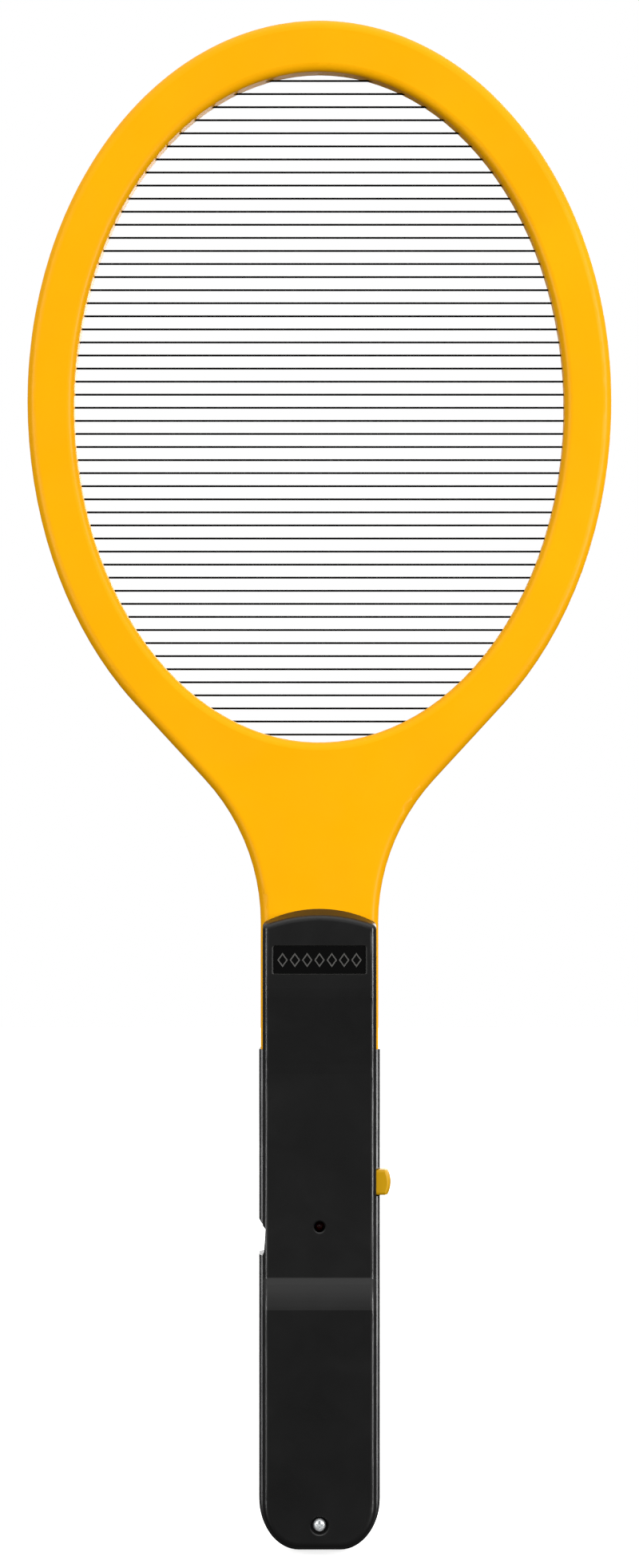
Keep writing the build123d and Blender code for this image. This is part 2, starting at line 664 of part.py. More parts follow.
def board_screws():
    """The four screws that hold the circuit board."""
    screws = [pan_screw(place, BOARD_Y[0], 1.8, 1.3, 0.85, 6.0) for place in BOARD_SCREWS]
    return Compound(children=screws)


# ---- button and switch --------------------------------------------------------------------
def power_button():
    """The button's cap, the flange that keeps it in, and the stem that works the switch."""
    half = BUTTON_HEIGHT / 2
    y = (BUTTON_Y - BUTTON_DEPTH / 2, BUTTON_Y + BUTTON_DEPTH / 2)
    cap = block((FLANGE_X[1] - 0.5, BUTTON_TIP_X + 1), y, (BUTTON_Z - half, BUTTON_Z + half))
    cap = fillet(cap.edges().filter_by(Axis.X), 1.1)
    dome_x = BUTTON_TIP_X - BUTTON_DOME_RADIUS
    cap = cap & Pos(dome_x, BUTTON_Y, BUTTON_Z) * Sphere(BUTTON_DOME_RADIUS)
    tip = cap.faces().sort_by(Axis.X)[-1]
    cap = fillet(tip.edges(), 0.7)
    flange = block(FLANGE_X, (y[0], y[1] + 1.2), (BUTTON_Z - 6.0, BUTTON_Z + 6.0))
    stem_root = (FLANGE_X[0] + 0.2, BUTTON_Y, BUTTON_Z)
    stem = rod(PLUNGER_RADIUS, (STEM_TIP_X, BUTTON_Y, BUTTON_Z), stem_root)
    return joined([cap, flange, stem])


def coil(wire_radius, radius, turns, start, height, direction):
    """A coil of round wire."""
    path = Helix(height / turns, height, radius, center=start, direction=direction)
    section = Plane(origin=path @ 0, z_dir=path % 0) * Circle(wire_radius)
    return sweep(section, path=path, is_frenet=True)


def button_return_spring():
    """The coil between the switch's face and the button's flange."""
    end_gap = 0.05
    length = FLANGE_X[0] - SWITCH_FACE_X - 2 * (SPRING_WIRE + end_gap)
    start = (SWITCH_FACE_X + SPRING_WIRE + end_gap, BUTTON_Y, BUTTON_Z)
    return coil(SPRING_WIRE, SPRING_RADIUS, SPRING_TURNS, start, length, (1, 0, 0))


def switch_housing():
    """The push switch's case, with the plunger's bore."""
    body = block((4.7, SWITCH_FACE_X), (-6.2, BOARD_Y[0]), (BUTTON_Z - 4, BUTTON_Z + 4))
    body = chamfer(body.edges().filter_by(Axis.X), 0.5)
    return body - rod(PLUNGER_RADIUS + 0.08, (7.2, BUTTON_Y, BUTTON_Z), (13, BUTTON_Y, BUTTON_Z))


def switch_plunger():
    """The switch's plunger, which the button's stem pushes."""
    return rod(PLUNGER_RADIUS, (9.0, BUTTON_Y, BUTTON_Z), (STEM_TIP_X, BUTTON_Y, BUTTON_Z))


# ---- circuit ------------------------------------------------------------------------------
def circuit_board():
    """The board, cut away behind the button."""
    board = block((-BOARD_HALF_WIDTH, BOARD_HALF_WIDTH), BOARD_Y, BOARD_Z)
    through = (BOARD_Y[0] - 1, BOARD_Y[1] + 1)
    button_notch = block((13.6, BOARD_HALF_WIDTH + 1), through, (BUTTON_Z - 7.0, BUTTON_Z + 7.0))
    holes = [rod(1.1, (x, through[0], z), (x, through[1], z)) for x, z in BOARD_SCREWS]
    return board - (holes + [button_notch])


def leg(x, y_from, z, radius=LEG_RADIUS):
    """A wire leg down to the board's face."""
    return rod(radius, (x, y_from, z), (x, BOARD_Y[0], z))


def transformer_core():
    """Two E-shaped ferrite halves that meet as a figure of eight."""
    middle_z = sum(TRANSFORMER_Z) / 2
    core = block(TRANSFORMER_X, CORE_Y, TRANSFORMER_Z)
    window_x = (TRANSFORMER_X[0] + 2, TRANSFORMER_X[1] - 2)
    low = block(window_x, (-10, 5), (TRANSFORMER_Z[0] + 2, middle_z - LEG_HALF))
    high = block(window_x, (-10, 5), (middle_z + LEG_HALF, TRANSFORMER_Z[1] - 2))
    return core - [low, high]


def bobbin_tube(grow):
    """The outside of the bobbin's square tube, or with a negative grow its hole."""
    middle_z = sum(TRANSFORMER_Z) / 2
    y = (CORE_Y[0] - grow, CORE_Y[1] + grow)
    z = (middle_z - LEG_HALF - grow, middle_z + LEG_HALF + grow)
    return block((TRANSFORMER_X[0] + 2.05, TRANSFORMER_X[1] - 2.05), y, z)


def transformer_bobbin():
    """A square tube on the core's middle leg, with a flange at each end."""
    middle_z = sum(TRANSFORMER_Z) / 2
    left, right = TRANSFORMER_X[0] + 2.05, TRANSFORMER_X[1] - 2.05
    flanges = []
    for x in ((left, left + 0.9), (right - 0.9, right)):
        flanges.append(block(x, (-8.6, BOARD_Y[0]), (middle_z - 3.8, middle_z + 3.8)))
    return joined([bobbin_tube(0.5)] + flanges) - bobbin_tube(0)


def transformer_winding():
    """The wound coil between the flanges."""
    middle_z = sum(TRANSFORMER_Z) / 2
    left, right = TRANSFORMER_X[0] + 2.95, TRANSFORMER_X[1] - 2.95
    coil_block = block((left, right), (-8.3, 1.3), (middle_z - 3.6, middle_z + 3.6))
    coil_block = fillet(coil_block.edges().filter_by(Axis.X), 1.4)
    return coil_block - bobbin_tube(0.5)


def discharge_capacitor():
    """The film capacitor that feeds the grid."""
    body = block((-13.0, -2.2), (-6.8, 1.2), (91.2, 100.8))
    body = fillet(body.edges(), 0.8)
    return joined([body, leg(-10.5, 1.0, 96.0), leg(-4.5, 1.0, 96.0)])


def disc_capacitor(x, z):
    """A ceramic disc on two legs, standing on edge."""
    disc = rod(3.6, (x - 1.3, -2.8, z), (x + 1.3, -2.8, z))
    disc = fillet(disc.edges().filter_by(GeomType.CIRCLE), 0.9)
    return joined([disc, leg(x, -1.0, z - 2.0), leg(x, -1.0, z + 2.0)])


def axial_part(x, z, radius, length, along_x):
    """A small tube-shaped part with a lead out of each end, bent down to the board."""
    y = BOARD_Y[0] - radius - LEG_RADIUS
    step = (1, 0) if along_x else (0, 1)

    def place(along, depth):
        return (x + along * step[0], depth, z + along * step[1])

    body = rod(radius, place(-length / 2, y), place(length / 2, y))
    body = fillet(body.edges().filter_by(GeomType.CIRCLE), radius * 0.3)
    reach = length / 2 + 1.6
    corners = [place(-reach, BOARD_Y[0]), place(-reach, y), place(reach, y), place(reach, BOARD_Y[0])]
    path = FilletPolyline(*corners, radius=0.7)
    section = Plane(origin=path @ 0, z_dir=path % 0) * Circle(LEG_RADIUS)
    return body + sweep(section, path=path)


def multiplier_capacitors():
    """Two ceramic discs of the voltage multiplier."""
    return Compound(children=[disc_capacitor(x, 110.0) for x in (-11.5, -6.5)])


def rectifier_diodes():
    """Three diodes, upright and side by side."""
    diodes = [axial_part(x, 92.5, 1.3, 5.0, False) for x in (2.0, 5.8, 9.6)]
    return Compound(children=diodes)


def resistors():
    """Three resistors, level and one above the other."""
    rods = [axial_part(9.6, z, 1.1, 5.6, True) for z in (101.5, 105.3, 109.1)]
    return Compound(children=rods)


def switching_transistor():
    """A transistor in a half-round case on three legs."""
    x, z = -9.0, 120.5
    body = rod(2.4, (x, -5.6, z), (x, -1.2, z)) - block((-20, 0), (-10, 5), (z + 1.4, z + 5))
    legs = [leg(x + shift, -1.4, z, 0.25) for shift in (-1.2, 0, 1.2)]
    return joined([body] + legs)


def indicator_led():
    """The lamp, standing on its legs behind the cover's hole."""
    dome_y = -7.3
    body = rod(1.5, (0, dome_y, LAMP_Z), (0, -3.5, LAMP_Z)) + Pos(0, dome_y, LAMP_Z) * Sphere(1.5)
    flange = rod(1.9, (0, -4.3, LAMP_Z), (0, -3.5, LAMP_Z))
    return joined([body, flange] + [leg(x, -3.7, LAMP_Z, 0.25) for x in (-0.9, 0.9)])


# ---- batteries and contacts ---------------------------------------------------------------
def cell(x, foot_z, cap_up):
    """An AA cell."""
    body_foot = foot_z if cap_up else foot_z + CAP_HEIGHT
    body = rod(CELL_RADIUS, (x, CELL_Y, body_foot), (x, CELL_Y, body_foot + CELL_LENGTH))
    body = fillet(body.edges().filter_by(GeomType.CIRCLE), 0.6)
    set_in = 0.2
    cap_foot = foot_z + CELL_LENGTH - set_in if cap_up else foot_z
    cap_top = cap_foot + CAP_HEIGHT + set_in
    return body + rod(CAP_RADIUS, (x, CELL_Y, cap_foot), (x, CELL_Y, cap_top))


def contact_plate(x_low, x_high, z):
    """A flat plate across the cells' ends."""
    return block((x_low, x_high), (CELL_Y - 4.5, CELL_Y + 4.5), (z, z + CONTACT_THICKNESS))


def contact_coil(x, z_from, z_to):
    """A coil between a plate and a cell's flat end, its first turn set into the plate."""
    start = (x, CELL_Y, z_from + COIL_WIRE * 0.6)
    length = z_to - z_from - COIL_WIRE * 1.6 - 0.05
    return coil(COIL_WIRE, COIL_RADIUS, 2.5, start, length, (0, 0, 1))


def contact_tab(x):
    """The tail that passes through the wall for its lead."""
    return block((x - 1.0, x + 1.0), (-2.1, -1.7), (CONTACT_HIGH_Z - 0.2, CONTACT_HIGH_Z + 4.5))


def cell_plate_contact():
    """The plate at the left cell's cap."""
    plate = contact_plate(-CELL_X - 4.5, -CELL_X + 4.5, CONTACT_HIGH_Z - CONTACT_THICKNESS)
    return plate + contact_tab(-CELL_X)


def cell_spring_contact():
    """The coil at the right cell's flat end."""
    plate_z = CONTACT_HIGH_Z - CONTACT_THICKNESS
    plate = contact_plate(CELL_X - 4.5, CELL_X + 4.5, plate_z)
    cell_top_z = RIGHT_FOOT_Z + CAP_HEIGHT + CELL_LENGTH
    spring = mirror(contact_coil(CELL_X, 0, plate_z - cell_top_z), about=Plane.XY)
    return joined([plate, contact_tab(CELL_X), Pos(0, 0, plate_z) * spring])


def cell_link_contact():
    """The plate and coil at the foot, which join the two cells."""
    plate = contact_plate(-CELL_X - 4.5, CELL_X + 4.5, CONTACT_LOW_Z)
    return plate + contact_coil(-CELL_X, CONTACT_LOW_Z + CONTACT_THICKNESS, LEFT_FOOT_Z)


# ---- leads --------------------------------------------------------------------------------
def lead(points, radii):
    """An insulated wire along straight runs joined by arcs."""
    path = FilletPolyline(*points, radius=radii)
    section = Plane(origin=path @ 0, z_dir=path % 0) * Circle(LEAD_RADIUS)
    return sweep(section, path=path)


def grid_lead(side):
    """From the board's top, up the neck, to the lower end of one strip."""
    board_y = BOARD_Y[0] - LEAD_RADIUS
    strip_y = STRIP_FACE_Y - LEAD_RADIUS
    points = [
        (side * 6.0, board_y, 143.0),
        (side * 6.0, board_y, 166.0),
        (side * 8.0, strip_y, 190.0),
        (side * 16.0, strip_y, 220.0),
        (side * 22.0, strip_y, 242.0),
        (side * 29.5, strip_y, 263.6),
    ]
    return lead(points, [60.0, 60.0, 60.0, 60.0])


def battery_lead(side):
    """From a contact's tail to the board's lower end."""
    tab_y = -1.7 + LEAD_RADIUS
    board_y = BOARD_Y[0] - LEAD_RADIUS
    x = side * CELL_X
    points = [
        (x, tab_y, CONTACT_HIGH_Z + 2.0),
        (x, tab_y, CONTACT_HIGH_Z + 7.0),
        (x - side * 2.0, board_y, BOARD_Z[0] - 2.4),
        (x - side * 2.0, board_y, BOARD_Z[0] + 2.7),
    ]
    return lead(points, [4.5, 4.5])


# ---- all nodes ----------------------------------------------------------------------------
def nodes():
    """Every named piece, left and live first."""
    return {
        "frame_front_half": frame_front_half(),
        "frame_rear_half": frame_rear_half(),
        "live_grid_wires": grid_wires(0, -1),
        "return_grid_wires": grid_wires(1, 1),
        "live_bus_strip": bus_strip(-1),
        "return_bus_strip": bus_strip(1),
        "front_cover": front_cover(),
        "cover_screw": cover_screw(),
        "rear_shell": rear_shell(),
        "tongue_screws": tongue_screws(),
        "power_button": power_button(),
        "button_return_spring": button_return_spring(),
        "switch_housing": switch_housing(),
        "switch_plunger": switch_plunger(),
        "circuit_board": circuit_board(),
        "board_screws": board_screws(),
        "transformer_core": transformer_core(),
        "transformer_bobbin": transformer_bobbin(),
        "transformer_winding": transformer_winding(),
        "discharge_capacitor": discharge_capacitor(),
        "multiplier_capacitors": multiplier_capacitors(),
        "rectifier_diodes": rectifier_diodes(),
        "resistors": resistors(),
        "switching_transistor": switching_transistor(),
        "indicator_led": indicator_led(),
        "battery_cell_left": cell(-CELL_X, LEFT_FOOT_Z, True),
        "battery_cell_right": cell(CELL_X, RIGHT_FOOT_Z, False),
        "cell_plate_contact": cell_plate_contact(),
        "cell_spring_contact": cell_spring_contact(),
        "cell_link_contact": cell_link_contact(),
        "live_lead": grid_lead(-1),
        "return_lead": grid_lead(1),
        "battery_lead_positive": battery_lead(-1),
        "battery_lead_negative": battery_lead(1),
    }


os.makedirs("parts", exist_ok=True)
for node, shape in nodes().items():
    save(node, shape)
    print(node, round(shape.volume, 1), "mm3")
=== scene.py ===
# %% [markdown]
# # An electric fly swatter
#
# A racket-shaped frame in yellow ABS holds 51 steel wires across an oval opening. Below it a black
# handle keeps the batteries and the high-voltage circuit behind a long screwed cover. The shapes
# come from the CAD model. This file gives each piece the finish that its maker gave it, remakes
# the one part that bends, and sets up a plain studio. Everything is in metres.

# %% Load the frame
import bpy
import math
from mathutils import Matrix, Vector


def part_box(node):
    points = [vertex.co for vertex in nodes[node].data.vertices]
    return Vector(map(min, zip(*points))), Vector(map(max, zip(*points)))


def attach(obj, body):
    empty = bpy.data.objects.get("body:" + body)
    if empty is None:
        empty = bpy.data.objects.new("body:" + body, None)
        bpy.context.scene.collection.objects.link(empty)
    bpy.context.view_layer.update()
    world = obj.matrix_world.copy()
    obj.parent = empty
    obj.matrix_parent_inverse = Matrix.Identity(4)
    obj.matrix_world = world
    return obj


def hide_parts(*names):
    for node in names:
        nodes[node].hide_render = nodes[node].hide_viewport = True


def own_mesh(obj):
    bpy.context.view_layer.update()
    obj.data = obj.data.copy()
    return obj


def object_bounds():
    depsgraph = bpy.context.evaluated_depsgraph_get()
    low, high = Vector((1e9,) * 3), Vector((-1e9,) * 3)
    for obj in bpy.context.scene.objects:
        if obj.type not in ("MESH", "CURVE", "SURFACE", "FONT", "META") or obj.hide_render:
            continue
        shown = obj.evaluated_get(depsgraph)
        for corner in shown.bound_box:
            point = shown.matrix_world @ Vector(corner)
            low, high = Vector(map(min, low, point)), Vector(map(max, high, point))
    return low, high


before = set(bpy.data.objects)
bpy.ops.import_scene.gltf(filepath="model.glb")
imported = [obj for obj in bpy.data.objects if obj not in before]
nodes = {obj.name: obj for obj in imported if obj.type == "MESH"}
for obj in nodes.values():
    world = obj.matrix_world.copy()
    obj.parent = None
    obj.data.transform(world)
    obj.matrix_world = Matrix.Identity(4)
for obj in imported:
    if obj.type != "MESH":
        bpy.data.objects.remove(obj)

cad_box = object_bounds()
print(len(nodes), "pieces come from the frame")

# %% [markdown]
# ## The camera
#
# The swatter is seen from the front, upright, from a little over a metre away and level with its
# middle. A long lens at that distance keeps the oval's shape true. The camera comes first, so
# that each step after it can be looked at as soon as it is made.

# %% Place the camera
MM = 0.001
CAMERA_DISTANCE = 1.4
CAMERA_HEIGHT = 0.2505
VIEW_HEIGHT = 0.5138           # metres seen from top to bottom at the object
SENSOR = 36.0

camera_data = bpy.data.cameras.new("front_camera")
camera_data.sensor_fit = "VERTICAL"
camera_data.sensor_height = SENSOR
camera_data.lens = SENSOR * CAMERA_DISTANCE / VIEW_HEIGHT
camera = bpy.data.objects.new("front_camera", camera_data)
camera.location = (0, -CAMERA_DISTANCE, CAMERA_HEIGHT)
camera.rotation_euler = (math.pi / 2, 0, 0)
bpy.context.scene.collection.objects.link(camera)
bpy.context.scene.camera = camera
print("lens", round(camera_data.lens, 1), "mm")

# %% [markdown]
# ## Studio
#
# Yellow ABS needs plenty of light from above and from both sides, while black ABS shows whatever
# stands in front of it. So the space in front of the swatter is kept dim, and the light comes from
# a bright overhead sky and from two upright softboxes, 45 degrees to either side. The black then
# stays black on its flat face and draws a thin bright line along each rounded edge. A third, bigger
# softbox lights the back. The backdrop that the camera sees is plain and pale, and the floor is a
# plain pale sheet.

# %% Colours and nodes
def srgb(code):
    """The linear colour, with alpha, of an sRGB hex code."""
    parts = [int(code[place:place + 2], 16) / 255 for place in (1, 3, 5)]
    line = [part / 12.92 if part <= 0.04045 else ((part + 0.055) / 1.055) ** 2.4 for part in parts]
    return (*line, 1.0)


def add(tree, kind, inputs=None, **settings):
    """Adds a node. An input is a value, or another node's output, which gets linked."""
    node = tree.nodes.new("ShaderNode" + kind)
    for name, value in settings.items():
        setattr(node, name, value)
    for socket, value in (inputs or {}).items():
        if isinstance(value, bpy.types.NodeSocket):
            tree.links.new(value, node.inputs[socket])
        else:
            node.inputs[socket].default_value = value
    return node


print("yellow", [round(part, 3) for part in srgb("#EFA900")])

# %% The sky
SKY_BELOW = 0.055              # brightness below the horizon
SKY_ABOVE = 1.95               # and overhead
SKY_POWER = 2.35               # how late in its rise the sky brightens
SKY_START = -0.35              # the height, from -1 to 1, where it starts to

world = bpy.data.worlds.new("studio")
world.use_nodes = True
bpy.context.scene.world = world
sky = world.node_tree
sky.nodes.clear()
direction = add(sky, "TexCoord").outputs["Generated"]
height = add(sky, "SeparateXYZ", {"Vector": direction}).outputs["Z"]
rise = add(sky, "MapRange", {"Value": height, "From Min": SKY_START, "From Max": 1.0}, clamp=True)
curve = add(sky, "Math", {0: rise.outputs["Result"], 1: SKY_POWER}, operation="POWER")
level = add(sky, "MapRange", {"Value": curve.outputs[0], "To Min": SKY_BELOW, "To Max": SKY_ABOVE})
light = add(sky, "Background", {"Color": srgb("#FFFFFF"), "Strength": level.outputs["Result"]})
backdrop = add(sky, "Background", {"Color": srgb("#FFFFFF"), "Strength": 1.0})
seen = add(sky, "LightPath").outputs["Is Camera Ray"]
chosen = add(sky, "MixShader", {0: seen, 1: light.outputs[0], 2: backdrop.outputs[0]})
add(sky, "OutputWorld", {"Surface": chosen.outputs[0]})
bpy.context.scene.view_settings.view_transform = "Standard"
print("sky from", SKY_BELOW, "to", SKY_ABOVE)

# %% Softboxes
def softbox(name, place, aim, size, power):
    """Adds a rectangular lamp that faces a point."""
    data = bpy.data.lights.new(name, "AREA")
    data.shape = "RECTANGLE"
    data.size, data.size_y = size
    data.energy = power
    lamp = bpy.data.objects.new(name, data)
    lamp.location = place
    lamp.rotation_euler = (Vector(aim) - Vector(place)).to_track_quat("-Z", "Y").to_euler()
    lamp.visible_camera = False
    bpy.context.scene.collection.objects.link(lamp)


MIDDLE = (0, 0, 0.22)
softbox("softbox_right", (1.25, -1.1, 0.35), MIDDLE, (0.20, 1.2), 26.0)
softbox("softbox_left", (-1.25, -1.1, 0.35), MIDDLE, (0.20, 1.2), 15.0)
softbox("softbox_behind", (0.45, 1.5, 0.75), MIDDLE, (1.1, 1.1), 14.0)
print("softboxes at 45 degrees, the right one stronger, and a big one behind for the back")

# %% The floor
FLOOR_HALF = 3.0
FLOOR_GAP = 0.5 * MM           # below the butt, so that the two faces don't flicker

floor_mesh = bpy.data.meshes.new("floor")
corners = [(x * FLOOR_HALF, y * FLOOR_HALF, 0) for x, y in ((-1, -1), (1, -1), (1, 1), (-1, 1))]
floor_mesh.from_pydata(corners, [], [(0, 1, 2, 3)])
floor = bpy.data.objects.new("floor", floor_mesh)
floor.location = (0, 0, cad_box[0][2] - FLOOR_GAP)
bpy.context.scene.collection.objects.link(floor)
# A pale sheet lit a little from below, as on a light table, so that shadows on it stay faint.
paint = bpy.data.materials.new("pale_matt_backdrop_paper")
paint.use_nodes = True
paper = paint.node_tree.nodes["Principled BSDF"]
paper.inputs["Base Color"].default_value = srgb("#F6F6F4")
paper.inputs["Roughness"].default_value = 0.9
paper.inputs["Specular IOR Level"].default_value = 0.1
paper.inputs["Emission Color"].default_value = srgb("#FFFFFF")
paper.inputs["Emission Strength"].default_value = 0.8
floor_mesh.materials.append(paint)
# The sheet lies under the swatter without throwing light or reflections back up onto it.
floor.visible_glossy = False
floor.visible_diffuse = False
floor.visible_shadow = False
print("floor", 2 * FLOOR_HALF, "m across")

# %% [markdown]
# ## How a finish is put together
#
# Every finish here starts from a Principled shader. Its colour gets a slow drift, because no
# moulding is even all over. Its roughness gets patches, where hands and packing have rubbed it.
# Its relief comes from bump at the real size of the tool marks. The coordinates are the object's
# own, in metres, so a noise scale of 1 / (size in metres) gives marks of that size.

# %% Starting a material
def new_material(name, colour, roughness, metallic=0.0, ior=None):
    """A named material with its tree and shader."""
    material = bpy.data.materials.new(name)
    material.use_nodes = True
    tree = material.node_tree
    shader = tree.nodes["Principled BSDF"]
    shader.inputs["Base Color"].default_value = srgb(colour)
    shader.inputs["Roughness"].default_value = roughness
    shader.inputs["Metallic"].default_value = metallic
    if ior:
        shader.inputs["IOR"].default_value = ior
    return material, tree, shader


def noise(tree, size_mm, detail=2.0, stretch=None, distortion=0.0):
    """Noise with spots of a size in millimetres, drawn out along an axis if stretched."""
    place = add(tree, "TexCoord").outputs["Object"]
    if stretch:
        place = add(tree, "Mapping", {"Vector": place, "Scale": stretch}).outputs["Vector"]
    values = {"Vector": place, "Scale": 1 / (size_mm * MM), "Detail": detail, "Distortion": distortion}
    return add(tree, "TexNoise", values).outputs[0]


def spread(tree, value, low, high, start=0.3, end=0.7):
    """A value taken from start..end to low..high."""
    values = {"Value": value, "From Min": start, "From Max": end, "To Min": low, "To Max": high}
    return add(tree, "MapRange", values, clamp=True).outputs["Result"]


def mix(tree, share, under, over):
    """One colour over another."""
    node = add(tree, "Mix", {0: share, 6: under, 7: over}, data_type="RGBA")
    return node.outputs[2]


def relief(tree, shader, marks):
    """Bump from a list of (height, depth in mm), each on top of the one before."""
    normal = None
    for height_value, depth in marks:
        values = {"Height": height_value, "Distance": depth * MM, "Strength": 1.0}
        if normal:
            values["Normal"] = normal
        normal = add(tree, "Bump", values).outputs["Normal"]
    tree.links.new(normal, shader.inputs["Normal"])


def edge_mask(tree, radius_mm):
    """Bright on sharp outer edges: where a rounded normal leaves the true one."""
    soft = add(tree, "Bevel", {"Radius": radius_mm * MM}, samples=6).outputs["Normal"]
    true = add(tree, "NewGeometry").outputs["Normal"]
    same = add(tree, "VectorMath", {0: soft, 1: true}, operation="DOT_PRODUCT").outputs["Value"]
    return spread(tree, same, 1.0, 0.0, 0.80, 0.99)


print("helpers ready")

# %% [markdown]
# ## Moulded ABS
#
# The frame, the cover, the shell and the button are injection-moulded ABS. The steel mould is
# spark-eroded, which leaves a fine pebbled skin. On the real part the pebbles are about 0.1 mm
# across. That is too fine to show here, so it is drawn at 0.7 mm and very shallow. Slow waves
# some 25 mm long stand for the shrinkage over the ribs behind the face: they bend the long
# highlights a little, as they do on any cheap moulding.

# %% A function for moulded plastic
CLOUD_MM = 45.0                # slow drift of the colour
FLECK_MM = 1.6                 # darker specks in the pigment
RUB_MM = 9.0                   # where hands have worn the edges
SHEEN_MM = 18.0                # patches that are a little duller or glossier
EDGE_MM = 0.35                 # width of a worn edge
WAVE_MM, WAVE_DEPTH_MM = 25.0, 0.02
WEAR = 0.5                     # how far a worn edge goes towards its worn colour


def moulded(name, colours, roughness, gloss=0.5, grain_mm=0.7, grain_depth=0.004):
    """Spark-eroded ABS. The colours are the main one, its darker drift, and its worn edges."""
    main, drift, edge = colours
    material, tree, shader = new_material(name, main, roughness, ior=1.54)
    shader.inputs["Specular IOR Level"].default_value = gloss
    cloud = spread(tree, noise(tree, CLOUD_MM, 3.0), 0.0, 1.0)
    flecks = spread(tree, noise(tree, FLECK_MM, 4.0), 0.0, 0.35, 0.55, 0.75)
    body = mix(tree, cloud, srgb(main), srgb(drift))
    body = mix(tree, flecks, body, srgb(drift))
    rubbed = spread(tree, noise(tree, RUB_MM, 3.0), 0.0, 1.0, 0.42, 0.62)
    wear = add(tree, "Math", {0: edge_mask(tree, EDGE_MM), 1: rubbed}, operation="MULTIPLY").outputs[0]
    wear = add(tree, "Math", {0: wear, 1: WEAR}, operation="MULTIPLY").outputs[0]
    tree.links.new(mix(tree, wear, body, srgb(edge)), shader.inputs["Base Color"])
    uneven = noise(tree, SHEEN_MM, 4.0, distortion=0.6)
    patches = spread(tree, uneven, roughness - 0.04, roughness + 0.05)
    tree.links.new(patches, shader.inputs["Roughness"])
    grain = noise(tree, grain_mm, 2.0)
    waves = noise(tree, WAVE_MM, 1.0)
    relief(tree, shader, [(waves, WAVE_DEPTH_MM), (grain, grain_depth)])
    return material, tree, shader


print("moulded plastic ready, waves", WAVE_MM, "mm long")

# %% Frame, shell and cover
BLACK = ("#101010", "#131313", "#3A3A38")
SHELL_BLACK = ("#0E0E0E", "#111111", "#3A3A38")

# Semi-gloss yellow: a clear warm colour with a soft sheen that widens on the rounded rim.
yellow_abs, _, _ = moulded("moulded_abs_yellow", ("#EFA900", "#EAA200", "#F6B830"), 0.38, 0.10)
# Satin black: nearly no colour of its own, so its shape is read from the sheen on its edges.
black_abs, _, _ = moulded("moulded_abs_black", SHELL_BLACK, 0.28, 0.34)
cover_abs, tree, shader = moulded("moulded_abs_black_cover", BLACK, 0.30, 0.36)
print("yellow, black and the cover's black")

# %% [markdown]
# ## The cover's nameplate
#
# The nameplate is part of the cover, not a label. The mould's panel was polished and only the raised
# row of diamonds on it was roughened. The floor is also painted near black, as painted shade in the
# recess, and the diamonds and the recess's lip are painted grey, as painted highlight where the
# light from above catches them.
# The panel is found from the cover's own box. Two depths then tell the cover's face from the
# diamonds, and the diamonds from the floor.

# %% Find the panel
PLATE_BELOW_TOP = 16.5 * MM    # middle of the plate, below the cover's top edge
PLATE_HALF_WIDTH, PLATE_HALF_HEIGHT = 15.25 * MM, 4.6 * MM
FACE_DEPTH, DIAMOND_DEPTH = -11.97 * MM, -11.55 * MM

plate_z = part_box("front_cover")[1].z - PLATE_BELOW_TOP
point = add(tree, "SeparateXYZ", {"Vector": add(tree, "TexCoord").outputs["Object"]}).outputs
across = add(tree, "Math", {0: point["X"], 1: 0.0, 2: PLATE_HALF_WIDTH}, operation="COMPARE")
up = add(tree, "Math", {0: point["Z"], 1: plate_z, 2: PLATE_HALF_HEIGHT}, operation="COMPARE")
inside = add(tree, "Math", {0: across.outputs[0], 1: up.outputs[0]}, operation="MULTIPLY").outputs[0]
below_face = add(tree, "Math", {0: point["Y"], 1: FACE_DEPTH}, operation="GREATER_THAN").outputs[0]
lit_and_matt_sunk = add(tree, "Math", {0: below_face, 1: inside}, operation="MULTIPLY").outputs[0]
below_all = add(tree, "Math", {0: point["Y"], 1: DIAMOND_DEPTH}, operation="GREATER_THAN").outputs[0]
shaded_polished_floor = add(tree, "Math", {0: below_all, 1: lit_and_matt_sunk}, operation="MULTIPLY").outputs[0]
print("plate centred", round(plate_z / MM, 1), "mm up")

# %% Paint shade and highlight on it, and polish it
face_colour = shader.inputs["Base Color"].links[0].from_socket
# Painted highlight: the diamonds and the lip are painted grey. Painted shade: the recess floor is painted
# near black.
painted_highlight_tone = mix(tree, lit_and_matt_sunk, face_colour, srgb("#454442"))
tree.links.new(mix(tree, shaded_polished_floor, painted_highlight_tone, srgb("#030303")), shader.inputs["Base Color"])
face_rough = shader.inputs["Roughness"].links[0].from_socket
rough = add(tree, "Mix", {0: lit_and_matt_sunk, 2: face_rough, 3: 0.6}, data_type="FLOAT").outputs[0]
rough = add(tree, "Mix", {0: shaded_polished_floor, 2: rough, 3: 0.12}, data_type="FLOAT").outputs[0]
tree.links.new(rough, shader.inputs["Roughness"])
print("floor polished, diamonds matt")

# %% [markdown]
# ## The button
#
# The button is a duller, browner yellow than the frame, from another batch of pigment, and its
# sheen is a little softer.

# %% Button plastic
mustard_abs, _, _ = moulded("moulded_abs_mustard", ("#D9A608", "#CF9C06", "#E0BC4A"), 0.40, 0.22)
print("button finish ready")

# %% [markdown]
# ## Plain inner mouldings
#
# The switch, its plunger and the coil former never meet a customer's eye, so their moulds are only
# rough-machined. Nylon and PBT come out with a duller, slightly mottled skin. The same function
# serves, with a finer but deeper grain.

# %% Inner mouldings
switch_black, _, _ = moulded(
    "moulded_pbt_black", ("#1B1B1C", "#222223", "#333333"), 0.5, grain_mm=0.5, grain_depth=0.01)
plunger_white, _, _ = moulded(
    "moulded_nylon_white", ("#DEDDD6", "#D2D0C6", "#EEEEE8"), 0.45, grain_mm=0.5, grain_depth=0.006)
bobbin_nylon, _, _ = moulded(
    "moulded_nylon_black", ("#202021", "#29292A", "#3A3A3A"), 0.55, grain_mm=0.5, grain_depth=0.01)
print("three inner finishes")

